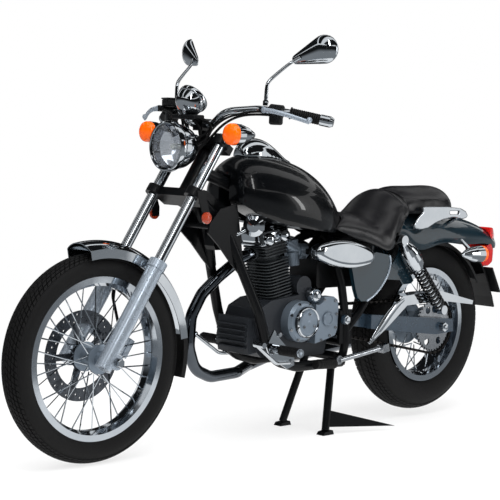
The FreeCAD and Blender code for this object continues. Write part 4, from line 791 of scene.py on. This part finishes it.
def remeshed(node, name, cell):
    """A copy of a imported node, merged and remeshed to even faces of a size in millimetres."""
    piece = bpy.data.objects.new(name, NODES[node].data.copy())
    bpy.context.scene.collection.objects.link(piece)
    edit(piece, "SELECT")
    bpy.ops.mesh.remove_doubles(threshold=1e-5)
    modify(piece, "REMESH", mode="VOXEL", voxel_size=cell * MM)
    return piece


SEAT_CELL = 5                 # faces of a pad, in millimetres
SEAT_GAP = 3 * MM             # a pad is drawn in this far before it swells
SEAT_PUFF = 5 * MM            # and swells this far at most
SEAT_STEP = -395 + DATUM      # where the saddle's bolster meets the pillion pad
STEP_SHIFT = 26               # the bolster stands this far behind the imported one
STEP_FOOT, STEP_RISE = 672, 60     # height where that shift starts, and the height it takes to come in full
STEP_REACH = 95               # how far along the seat it fades
PUFF_FRAMES = 20              # the cloth is blown up over these


def stuffed(node, name):
    """A packed pad as upholstery: drawn in, remeshed, blown up as cloth and smoothed."""
    pad = remeshed(node, name, SEAT_CELL)
    edit(pad, "SELECT")
    bpy.ops.transform.shrink_fatten(value=-SEAT_GAP)
    pick(pad)
    for vertex in pad.data.vertices:
        x, y, z = vertex.co / MM
        raised = min(max((z - STEP_FOOT) / STEP_RISE, 0), 1)
        vertex.co.x -= STEP_SHIFT * raised * math.exp(-((x - SEAT_STEP) / STEP_REACH) ** 2) * MM
    rest = [vertex.co.copy() for vertex in pad.data.vertices]
    cover = pad.modifiers.new("cover", "CLOTH")
    cover.settings.use_pressure = True
    cover.settings.uniform_pressure_force = 4.0
    cover.settings.effector_weights.gravity = 0
    cover.settings.quality = 4
    for frame_number in range(1, PUFF_FRAMES + 1):
        bpy.context.scene.frame_set(frame_number)
    bpy.ops.object.modifier_apply(modifier="cover")
    bpy.context.scene.frame_set(1)
    for vertex, start in zip(pad.data.vertices, rest):
        moved = vertex.co - start
        if moved.length > SEAT_PUFF:
            vertex.co = start + moved.normalized() * SEAT_PUFF
    modify(pad, "CORRECTIVE_SMOOTH", iterations=6, use_only_smooth=True)
    dress(pad, name, "seat vinyl", "chassis", (node,), 60)
    return pad


def on_surface(piece, points, lift):
    """Each point moved to the nearest place on a piece, then off it along its normal."""
    landed = []
    for point in points:
        found, place, normal, _ = piece.closest_point_on_mesh(point)
        landed.append(place + normal * lift * MM if found else point)
    return landed


class MOTORCYCLE_OT_seats(bpy.types.Operator):
    """Stuffed saddle and pillion pad with piping"""
    bl_idname = "motorcycle.seats"
    bl_label = "Seats"

    def execute(self, context):
        saddle = stuffed("rider_seat", "saddle")
        pillion = stuffed("pillion_seat", "pillion_pad")
        guides = (  # pad, name, radius and points on the left of the pad, down to its middle
            (saddle, "saddle_rear_piping", 3.2,
             [(-356, 140, 625), (-385, 140, 672), (-409, 135, 712), (-411, 120, 762), (-408, 92, 795),
              (-405, 50, 806), (-404, 0, 809)]),
            (pillion, "pillion_top_piping", 3.0,
             [(-414, 0, 815), (-420, 60, 812), (-430, 100, 795), (-500, 112, 786), (-600, 108, 786),
              (-700, 98, 782), (-750, 78, 776), (-768, 40, 770), (-770, 0, 768)]))
        for pad, name, radius, points in guides:
            half = on_surface(pad, [at(*point) for point in points], 0.8)
            other = [Vector((p.x, -p.y, p.z)) for p in half[:-1]]
            cord = tube(half + other[::-1], radius, resolution=5)
            dress(cord, name, "seat vinyl", "chassis")
        for side, hand in ((1, "left"), (-1, "right")):
            for number, x in enumerate((-215, -245, -275, -305)):
                across = [at(x, side * y, 760) for y in (8, 40, 75, 108)]
                seam = tube(on_surface(saddle, across, -0.6), 1.3, resolution=4)
                dress(seam, f"saddle_seam_{hand}_{number}", "seat vinyl", "chassis")
        return {"FINISHED"}


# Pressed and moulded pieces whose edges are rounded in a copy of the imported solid.
SOFT_PIECES = (  # node, name, faces in mm, rounds of smoothing, finish, slot
    ("air_covers", "air_cover_domes", 3, 22, "chrome plate", "chrome"),
    ("grab_rails", "grab_rail_bars", 2, 12, "chrome plate", "chrome"),
    ("tail_lamp", "tail_lens", 4, 10, "red acrylic", "red_lens"),
    ("tank_console", "console", 2.5, 8, "chrome plate", "chrome"))


class MOTORCYCLE_OT_soft_pieces(bpy.types.Operator):
    """Air covers, grab rails, tail lamp and tank console with softly rounded edges"""
    bl_idname = "motorcycle.soft_pieces"
    bl_label = "Rounded covers"

    def execute(self, context):
        for node, name, cell, rounds, finish, slot in SOFT_PIECES:
            piece = remeshed(node, name, cell)
            modify(piece, "SMOOTH", factor=0.6, iterations=rounds)
            dress(piece, name, finish, "chassis", (node,), 60)
        return {"FINISHED"}


class MOTORCYCLE_OT_headlamp(bpy.types.Operator):
    """Headlamp bucket on its yoke, with its reflector, bulb and bowed lens"""
    bl_idname = "motorcycle.headlamp"
    bl_label = "Headlamp"

    def execute(self, context):
        back = at(471, 0, 932)
        bucket = turned([(3, 0), (26, 2), (42, 9), (56, 22), (65, 40), (69, 60), (70, 79), (75, 80),
                         (77, 84), (77, 98), (75, 102.5), (71, 104), (68, 102), (67.8, 94), (67.2, 78),
                         (60.8, 59.5), (46.6, 45.5), (20, 36.6), (0, 36)], 72)
        settle(bucket, back, FORWARD)
        yoke_foot = on_fork(64, 0, 755)
        yoke = turned([(9, 0), (12, 3), (12, 62), (16, 70)], 24)
        settle(yoke, yoke_foot, back + Vector((12, 0, 10)) * MM - yoke_foot)
        dress(join([bucket, yoke]), "headlamp_bucket", "chrome plate", "steering", ("headlamp",))
        dish = turned([(20, 38), (46, 47.2), (60, 61.4), (66.4, 79), (67, 95), (66.2, 95), (63.6, 82),
                       (55.6, 66), (43.6, 54), (30, 46.5), (16, 43), (0, 42)], 26)
        settle(dish, back, FORWARD)
        dress(dish, "headlamp_reflector", "lamp reflector", "steering", sharp=1)
        bulb = turned([(7, 0), (7, 14), (9, 18), (9, 30), (6, 37), (0, 40)], 24)
        settle(bulb, back + FORWARD * 41 * MM, FORWARD)
        dress(bulb, "headlamp_bulb", "frosted bulb glass", "steering")
        lens = turned([(66.5, 96), (66.5, 99), (58, 103.5), (44, 107.5), (24, 110.5), (8, 111.5),
                       (0, 111.7)], 64)
        settle(lens, back, FORWARD)
        dress(lens, "headlamp_lens", "clear lamp glass", "steering", ("headlamp_glass",))
        return {"FINISHED"}


GRIP_FROM = Vector((331, 270, 1045))
GRIP_TO = Vector((252, 383, 1019))
BAR_KNEE = Vector((366, 180, 1053))


def on_bar(share, offset=ORIGIN):
    """A point between the bar's knee and the grip, then off it by millimetres."""
    return at(*BAR_KNEE.lerp(GRIP_FROM, share) + Vector(offset))


class MOTORCYCLE_OT_controls(bpy.types.Operator):
    """Ribbed grips, switch housings, levers and the brake reservoir"""
    bl_idname = "motorcycle.controls"
    bl_label = "Hand controls"

    def execute(self, context):
        run = GRIP_TO - GRIP_FROM
        first, last = 0.06 * run.length, 0.715 * run.length
        count = 13
        step = (last - first - 8) / count
        ribs = [(11.3, first), (18.5, first), (18.5, first + 3)]
        for number in range(count):
            low = first + 5 + step * number
            ribs += [(14.6, low), (16.3, low + 0.25 * step), (16.3, low + 0.75 * step)]
        ribs += [(14.6, last - 2), (16, last), (11.3, last)]
        grips = with_twin(settle(turned(ribs, 32), at(*GRIP_FROM), run))
        dress(grips, "ribbed_grips", "moulded rubber", "steering", ("grips",), 30)

        bar = GRIP_FROM - BAR_KNEE
        pod_share, perch_share, pod_turn = 0.64, 0.42, 0.37
        housing = turned([(11.2, 0), (18, 0), (20, 2), (20, 19), (18.6, 20), (18.6, 21), (20, 22), (20, 40),
                          (18, 42), (11.2, 42)], 32)
        settle(housing, on_bar(perch_share - 1 / bar.length), bar)
        pod = settle(block((34, 36, 42), 7), on_bar(pod_share, (3, 0, -20)), UP, pod_turn)
        horn_button = turned([(6, 0), (6, 5), (4, 7), (0, 7.5)], 20)
        settle(horn_button, on_bar(pod_share, (-14, -5, -30)), Vector((-1, -0.36, 0)))
        slider = settle(block((4, 16, 6), 1.4), on_bar(pod_share, (-15, -4, -16)), UP, pod_turn)
        perch = turned([(10, 0), (11, 2), (10, 20), (8, 34), (10, 38), (10, 52), (8, 54)], 24)
        settle(perch, on_bar(perch_share, (4, 0, 0)), Vector((0.95, 0.31, 0)))
        controls = with_twin(join([housing, pod, horn_button, slider, perch]))
        dress(controls, "switch_housings", "moulded ABS", "steering", ("hand_controls",))

        root = Vector((400.7, 234, 1049.6))
        points = [at(*root + Vector(step)) for step in ((-6, -9, 0), (0, 0, 0), (1, 18, -1), (-8, 50, -4),
                                                        (-30, 95, -14), (-58, 138, -26))]
        blade = tube(points, 6.5, (0.9, 1.3, 1.0, 0.9, 0.85, 0.8))
        stretch(blade, (1, 1, 1.25), at(*root))
        ball = settle(turned([(3, -9), (6.5, -6.5), (9, 0), (6.5, 6.5), (0, 9)], 24), points[-1])
        pivot = settle(turned([(5.5, -9), (5.5, 9), (4, 10.5), (0, 10.5)], 16), at(*root))
        levers = with_twin(join([blade, ball, pivot]))
        dress(levers, "hand_levers", "polished aluminium", "steering")

        lid = settle(block((36, 54, 5), 2), UP * 14 * MM)
        reservoir = settle(join([block((34, 52, 26), 6), lid]), at(378, -212, 1068), UP, -0.3)
        dress(reservoir, "brake_reservoir", "moulded ABS", "steering")
        return {"FINISHED"}


class MOTORCYCLE_OT_dial(bpy.types.Operator):
    """Speedometer cup with its warning-lamp housing, face, scale and needle"""
    bl_idname = "motorcycle.dial"
    bl_label = "Speedometer dial"

    def execute(self, context):
        lean = math.radians(48)
        way = Vector((-math.sin(lean), 0, math.cos(lean)))          # the way the dial faces
        uphill = Vector((math.cos(lean), 0, math.sin(lean)))
        middle_of_cup = at(485, 0, 1064)
        centre = middle_of_cup + way * 28.4 * MM
        back = middle_of_cup - way * 31 * MM
        cup = turned([(9, 0.3), (20, 1.4), (28, 4.4), (35, 9.5), (40, 16), (43.2, 25), (44.8, 36),
                      (45, 44.4), (46.6, 45), (48.4, 46.4), (48.9, 48.6), (48.9, 56.6), (47.8, 60),
                      (45, 61.8), (43.6, 61), (43, 59), (0, 59)], 72)
        settle(cup, back, way)
        strap = tube([at(448, 0, 1001.5), at(478, 0, 1003), at(492, 0, 1012), at(497, 0, 1024),
                      back + way * 5 * MM], 5.8)
        dress(join([cup, strap]), "speedometer_cup", "chrome plate", "steering",
              ("speedometer",), 50)
        housing = settle(block((45, 103, 14), 4.5, 4), at(487, 0, 1022.5))
        dress(housing, "warning_lamp_housing", "moulded ABS", "steering")
        face = settle(turned([(42, 0), (42, 0.8), (40, 1.2), (0, 1.2)], 64), centre, way)
        dress(face, "dial_face", "printed black dial", "steering")

        start, sweep, count = -130, 260, 24          # degrees of the first mark and of the scale

        def hand(degrees):
            angle = math.radians(degrees)
            return uphill * math.cos(angle) - way.cross(uphill) * math.sin(angle)
        marks = []
        for number in range(count + 1):
            line = hand(start + number * sweep / count)
            radius, size = ((34, 1.0), (36, 0.55))[number % 2]
            marks.append(laid(centre + way * 1.3 * MM + line * radius * MM, line, way)
                         @ Matrix.Diagonal((size, 1.0, 1.0, 1.0)))
        dress(repeat(block((8, 1.4, 0.5), 0.1, 1), marks), "dial_marks", "white dial ink", "steering")
        needle = block((30, 2.2, 1.2), 0.4, 2)
        edit(needle)
        choose(needle, lambda place, normal: normal.x > 0.9)
        bpy.ops.transform.resize(value=(1, 0.35, 1), center_override=ORIGIN)
        line = hand(start)
        needle.matrix_world = laid(centre + way * 3 * MM + line * 12 * MM, line, way)
        pick(needle)
        fix()
        hub = settle(turned([(5, -1), (5, 2), (3.5, 3), (0, 3)], 24), centre + way * 2.5 * MM, way)
        dress(join([needle, hub]), "dial_needle", "red acrylic", "steering")
        return {"FINISHED"}


class MOTORCYCLE_OT_engine_trim(bpy.types.Operator):
    """Chrome rocker cover, ignition-cover ring and cap, and the cover screws"""
    bl_idname = "motorcycle.engine_trim"
    bl_label = "Engine trim"

    def execute(self, context):
        lean = Vector((math.sin(CYLINDER_LEAN), 0, math.cos(CYLINDER_LEAN)))
        low = 192.6                                  # foot of the rocker cover along the cylinder
        parts = [settle(block((125, 103, 50), 17, 5), on_cylinder(1, 0, low + 25.3), lean),
                 settle(block((128, 106, 8), 3, 3), on_cylinder(1, 0, low + 4), lean)]
        for x in (-32, 34):
            dome = turned([(20.5, 0), (20.5, 124), (17, 130), (9, 133.5), (0, 134.5)], 40)
            edit(dome)
            choose(dome, lambda place, normal: normal.z < -0.9)
            bpy.ops.mesh.extrude_region_move(TRANSFORM_OT_translate={"value": (0, 0, -6 * MM)})
            bpy.ops.transform.resize(value=(0.83, 0.83, 1), center_override=ORIGIN)
            outward(dome)
            parts.append(settle(dome, on_cylinder(x, -62, low + 18), LEFT))
        for x in (-49, 1, 53):
            for y in (-40, 40):
                nut = turned([(7, 0), (7, 5), (5.6, 7), (5.6, 11), (0, 13)], 20)
                parts.append(settle(nut, on_cylinder(x, y, low + 44), lean))
        dress(join(parts), "rocker_cover", "chrome plate", "chassis")

        x, z, face = 58, 383, 72.3                   # axis of the ignition cover and the case's left face
        ring = turned([(50.4, 44.5), (50.4, 58.2), (49, 61.5), (46, 64.3), (43.2, 62), (41.6, 59.4),
                       (41.6, 52)], 72)
        cap = turned([(27.4, 0.3), (27.4, 13), (25, 19), (20, 25.5), (12, 29), (0, 30.5)], 48)
        hexagon = turned([(8.5, 0), (8.5, 5), (7.4, 6.2), (0, 6.4)], 6)
        parts = [settle(ring, at(x, face, z), LEFT), settle(cap, at(-13, face, 462), LEFT),
                 settle(hexagon, at(-13, face + 30, 462), LEFT)]
        dress(join(parts), "ignition_ring", "chrome plate", "chassis")

        screw = turned([(5, 0), (5, 3.4), (4.2, 4.4), (2.6, 4.4), (2.6, 1.6)], 12)
        places = []
        for count, start, radius, out, splay in ((8, 22.5, 60.5, 38.5, 0.6), (3, 90, 27, 62.5, 0)):
            for number in range(count):
                angle = math.radians(start + 360 / count * number)
                spoke = Vector((math.cos(angle), 0, math.sin(angle)))
                places.append(placing(at(x, face + out, z) + spoke * radius * MM, LEFT + spoke * splay))
        left_screws = ((-92, 444), (-100, 400), (-97, 356), (-70, 330), (-40, 450), (-30, 318))
        right_screws = ((142, 334), (158, 390), (116, 438), (36, 436), (-50, 430), (-72, 400), (-72, 338),
                        (-36, 292), (32, 290), (94, 290))
        places += [placing(at(sx, 106.6, sz), LEFT) for sx, sz in left_screws]
        places += [placing(at(sx, -105.6, sz), -LEFT) for sx, sz in right_screws]
        dress(repeat(screw, places), "cover_screws", "bright steel", "chassis")

        boss = turned([(24, 0), (24, 5), (20, 9), (16, 9), (15, 6), (0, 6)], 48)
        dress(settle(boss, at(-58, 106.8, 386), LEFT), "sprocket_boss", "cast aluminium", "chassis")
        clutch = turned([(56, 0), (56, 6), (48, 14), (30, 17), (28, 15), (0, 15)], 64)
        dress(settle(clutch, at(40, -105.8, 366), -LEFT), "clutch_dome", "polished aluminium", "chassis")
        return {"FINISHED"}


class MOTORCYCLE_OT_brake_rotor(bpy.types.Operator):
    """Drilled brake disc on its five-armed carrier"""
    bl_idname = "motorcycle.brake_rotor"
    bl_label = "Brake disc"

    def execute(self, context):
        low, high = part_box("brake_disc")
        half = (high[1] - low[1]) / 2 / MM
        radius = (high[2] - low[2]) / 2 / MM
        ring = bored([(96, -half), (radius - 0.5, -half), (radius, -half + 0.6), (radius, half - 0.6),
                      (radius - 0.5, half), (96, half)], 96, 0.04)
        drills = []
        rows, drills_a_row = (105, 115, 125), 15
        for row, from_centre in enumerate(rows):
            for number in range(drills_a_row):
                angle = math.tau * (number + row / len(rows)) / drills_a_row
                deselect()
                bpy.ops.mesh.primitive_cylinder_add(
                    vertices=12, radius=3.4 * MM, depth=half * 4 * MM,
                    location=(from_centre * math.cos(angle) * MM, from_centre * math.sin(angle) * MM, 0))
                drills.append(bpy.context.object)
        drill = join(drills)
        fix()
        modify(ring, "BOOLEAN", object=drill, solver="EXACT")
        bpy.data.objects.remove(drill)

        arms = 5
        hub = bored([(17, -half), (40, -half), (42, 0), (40, half), (17, half)], 48, 0.01)
        pieces = [ring, hub]
        button = turned([(6, -half - 1.5), (6, half + 1.5), (4.5, half + 2.2), (0, half + 2.2)], 16)
        for pattern, from_centre in ((block((62, 20, half * 2), 1.2, 2), 68), (button, 97)):
            pieces.append(repeat(pattern, [Matrix.Rotation(math.tau * number / arms, 4, "Z")
                                           @ Matrix.Translation(FORWARD * from_centre * MM)
                                           for number in range(arms)]))
        rotor = settle(join(pieces), middle("brake_disc"), LEFT)
        dress(rotor, "brake_rotor", "worn disc steel", "front_wheel", ("brake_disc",))
        return {"FINISHED"}


class MOTORCYCLE_OT_footrests(bpy.types.Operator):
    """Ribbed rubbers and end caps on the pegs"""
    bl_idname = "motorcycle.footrests"
    bl_label = "Footrests"

    def execute(self, context):
        def sleeve(length, radius, ribs):
            profile = [(10, 0), (radius, 0), (radius, 2.5)]
            step = (length - 6) / ribs
            for number in range(ribs):
                low = 3 + step * number
                profile += [(radius - 2.2, low), (radius, low + 0.3 * step), (radius, low + 0.8 * step)]
            return turned(profile + [(radius, length), (10, length)], 28)
        rider = settle(sleeve(82, 16, 9), at(188, 140, 304), LEFT)
        passenger = settle(sleeve(78, 16.2, 8), at(4, 130, 243.6), Vector((-1, 0, -0.045)))
        dress(with_twin(join([rider, passenger])), "peg_rubbers", "moulded rubber", "chassis")
        cap = settle(turned([(13.5, 0), (13.5, 4), (11, 6.4), (0, 6.8)], 32), at(188, 221.4, 304), LEFT)
        dress(with_twin(cap), "peg_ends", "polished aluminium", "chassis")
        return {"FINISHED"}


class MOTORCYCLE_OT_trim(bpy.types.Operator):
    """Cover beads, chain guard's bulge, reflectors, front lenses, bolts and axle nuts"""
    bl_idname = "motorcycle.trim"
    bl_label = "Trim"

    def execute(self, context):
        bead = tube([at(x, 143.5, z) for x, z in ((-207, 441), (-251, 458), (-299, 507), (-317, 540),
                                                  (-322, 576), (-314, 590))], 3.4, resolution=6)
        dress(with_twin(bead), "side_cover_beads", "polished aluminium", "chassis")
        blade = tube([at(x, 124, z) for x, z in ((-253, 297), (-282, 322), (-312, 352), (-348, 388),
                                                 (-386, 417), (-424, 434))],
                     15, (0.2, 0.75, 1, 1, 0.8, 0.3), 10)
        stretch(blade, (1, 0.42, 1), LEFT * 124 * MM)
        dress(blade, "chain_guard_bulge", "chrome plate", "chassis", (), 60)
        reflector = turned([(17.6, 0), (17.6, 6.4), (15, 8.2), (14.4, 8.2), (13.6, 7.4), (11, 9.6),
                            (0, 10.6)], 36)
        settle(reflector, at(506, 116.5, 722), LEFT)
        dress(with_twin(reflector), "fork_reflectors", "ruby reflector", "steering")
        lens = turned([(32.5, -23.6), (32.5, -13), (31, -8.4), (27, -4.8), (20, -2.2), (10, -0.6),
                       (0, 0)], 48)
        settle(lens, at(500, 192, 974), FORWARD)
        dress(with_twin(lens), "front_lens_domes", "amber acrylic", "steering",
              ("front_lenses",))
        bolt = turned([(8.5, 0), (8.5, 5.5), (7.4, 6.8), (0, 7)], 6)
        bolts = repeat(bolt, [placing(at(x, side * 118.2, z), LEFT * side) for side in (1, -1)
                              for x, z in ((176, 350), (118, 258), (206, 296))])
        dress(bolts, "bracket_bolts", "bright steel", "chassis")
        nuts = (  # name, body, profile, and the place of the left one of two
            ("pivot_nuts", "chassis", [(15, 0), (15, 7), (13.5, 8.5), (9, 8.5), (9, 12), (0, 12.5)],
             (-133, 120.8, 380)),
            ("front_axle_nuts", "steering", [(13, 0), (13, 8), (11.4, 9.6), (0, 9.8)], (828, 123.5, 309.6)),
            ("rear_axle_nuts", "chassis", [(16.5, 0), (16.5, 9), (14.6, 11), (9, 11), (9, 15), (0, 16)],
             (-637, 130, 327)))
        for name, body, profile, (x, y, z) in nuts:
            sides = [placing(at(x, side * y, z), LEFT * side) for side in (1, -1)]
            dress(repeat(turned(profile, 6), sides), name, "chrome plate", body)
        return {"FINISHED"}


class MOTORCYCLE_OT_plate(bpy.types.Operator):
    """Blank number plate with a pressed border"""
    bl_idname = "motorcycle.plate"
    bl_label = "Number plate"

    def execute(self, context):
        top, foot = at(-990.5, 0, 520), at(-1044.5, 0, 426.5)
        down = foot - top
        plate = block((138, down.length / MM - 2, 2.6), 0.9, 2)
        edit(plate)
        choose(plate, lambda place, normal: normal.z > 0.9)
        bpy.ops.mesh.inset(thickness=5 * MM, depth=0)
        bpy.ops.mesh.inset(thickness=1.2 * MM, depth=-1.0 * MM)
        outward(plate)
        back = down.cross(LEFT).normalized()
        if back.x > 0:
            back = -back
        plate.matrix_world = laid((top + foot) / 2 + back * 1.6 * MM, LEFT, back)
        pick(plate)
        fix()
        dress(plate, "blank_plate", "plate enamel", "chassis")
        return {"FINISHED"}


class MOTORCYCLE_OT_cables(bpy.types.Operator):
    """Control cables and leads between the handlebar, the warning lamps and the headlamp"""
    bl_idname = "motorcycle.cables"
    bl_label = "Bar cables"

    def execute(self, context):
        runs = (  # name, radius and points on the left of the bar, in millimetres
            ("clutch_cable", 3.6,
             [(396, 230, 1047), (407, 202, 1044), (418, 170, 1039), (440, 116, 1024), (454, 74, 990),
              (462, 50, 945), (476, 36, 918), (496, 26, 908)]),
            ("switch_cable", 4.0,
             [(352, 212, 1036), (366, 176, 1038), (398, 130, 1031), (424, 92, 1006), (446, 60, 962),
              (466, 40, 932), (492, 28, 926)]),
            ("lamp_lead", 3.8,
             [(486, 10, 950), (466, 24, 960), (446, 46, 976), (442, 56, 996), (454, 52, 1012),
              (474, 40, 1019)]),
            ("horn_lead", 3.2,
             [(484, 28, 934), (466, 44, 946), (450, 60, 968), (448, 66, 992), (456, 60, 1012),
              (474, 46, 1020)]),
            ("meter_lead", 3.4,
             [(484, 14, 1018), (470, 20, 1004), (458, 28, 986), (458, 30, 966), (468, 24, 950),
              (484, 16, 944)]))
        for name, radius, points in runs:
            cable = tube([at(*point) for point in points], radius)
            dress(with_twin(cable), name + "s", "moulded rubber", "steering")
        return {"FINISHED"}


MIRROR_CENTRE = Vector((228, 276, 1229))
MIRROR_STALK = ((357, 202, 1063.8), (357, 202.6, 1098), (356, 203.6, 1124), (350, 205.5, 1138),
                (318, 213, 1165), (286, 220.5, 1190), (272, 228, 1201), (258, 244, 1213.5))


class MOTORCYCLE_OT_mirrors(bpy.types.Operator):
    """Domed egg-shaped mirror bodies on their bent stalks"""
    bl_idname = "motorcycle.mirrors"
    bl_label = "Mirrors"

    def execute(self, context):
        toe, tilt, flatness = math.radians(26), math.radians(20), 0.58
        body = turned([(8, -73.6), (12.6, -70.4), (14.8, -65), (24, -37), (33, -9), (38, 6), (41.6, 18),
                       (43.6, 26), (43.9, 33), (42.6, 42), (39, 51), (33, 60), (24.5, 67.6), (13, 72.8),
                       (0, 74.8)], 64)
        edit(body, "SELECT")
        bpy.ops.mesh.bisect(plane_co=ORIGIN, plane_no=FORWARD, use_fill=True, clear_inner=True)
        bpy.ops.mesh.select_all(action="SELECT")
        bpy.ops.transform.resize(value=(flatness, 1, 1), center_override=ORIGIN)
        choose(body, lambda place, normal: normal.x < -0.9)
        bpy.ops.mesh.inset(thickness=5 * MM)
        bpy.ops.transform.translate(value=(3.3 * MM, 0, 0))
        deselect()
        lengthwise = Matrix(((1, 0, 0), (0, 0, 1), (0, -1, 0))).to_4x4()
        body.data.transform(Matrix.Translation(at(*MIRROR_CENTRE)) @ Matrix.Rotation(toe, 4, "Z")
                            @ Matrix.Rotation(tilt, 4, "X") @ lengthwise)
        outward(body)
        stalk = tube([at(*point) for point in MIRROR_STALK], 5.4, (1.15, 1.1, 1, 1, 0.95, 0.9, 0.85, 0.8))
        foot = settle(turned([(8.8, 0), (8.8, 13), (6.5, 16), (0, 16)], 6), at(*MIRROR_STALK[0]))
        dress(with_twin(join([body, stalk, foot])), "mirror_bodies", "chrome plate", "steering",
              ("mirrors",), 40)
        return {"FINISHED"}


class MOTORCYCLE_PT_panel(bpy.types.Panel):
    """Lists the operators that make the pieces, and the settings"""
    bl_idname = "MOTORCYCLE_PT_panel"
    bl_label = "Motorcycle"
    bl_space_type = "VIEW_3D"
    bl_region_type = "UI"
    bl_category = "Motorcycle"

    def draw(self, context):
        for operator in OPERATORS:
            self.layout.operator(operator.bl_idname)
        for group in (context.scene.machine, context.scene.studio):
            for name in group.__annotations__:
                self.layout.prop(group, name)


OPERATORS = (MOTORCYCLE_OT_finishes, MOTORCYCLE_OT_tyres, MOTORCYCLE_OT_springs, MOTORCYCLE_OT_chain,
             MOTORCYCLE_OT_seats, MOTORCYCLE_OT_soft_pieces, MOTORCYCLE_OT_headlamp, MOTORCYCLE_OT_controls,
             MOTORCYCLE_OT_dial, MOTORCYCLE_OT_engine_trim, MOTORCYCLE_OT_brake_rotor,
             MOTORCYCLE_OT_footrests, MOTORCYCLE_OT_trim, MOTORCYCLE_OT_plate, MOTORCYCLE_OT_cables,
             MOTORCYCLE_OT_mirrors, MOTORCYCLE_OT_stage)
CLASSES = (MachineSettings, StudioSettings, *OPERATORS, MOTORCYCLE_PT_panel)


def register():
    for kind in CLASSES:
        bpy.utils.register_class(kind)
    bpy.types.Scene.machine = PointerProperty(type=MachineSettings)
    bpy.types.Scene.studio = PointerProperty(type=StudioSettings)


def unregister():
    del bpy.types.Scene.machine, bpy.types.Scene.studio
    for kind in reversed(CLASSES):
        bpy.utils.unregister_class(kind)


def main():
    """Registers the add-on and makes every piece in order."""
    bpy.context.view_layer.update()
    register()
    for operator in OPERATORS:
        group, name = operator.bl_idname.split(".")
        getattr(getattr(bpy.ops, group), name)()


if __name__ == "__main__":
    main()
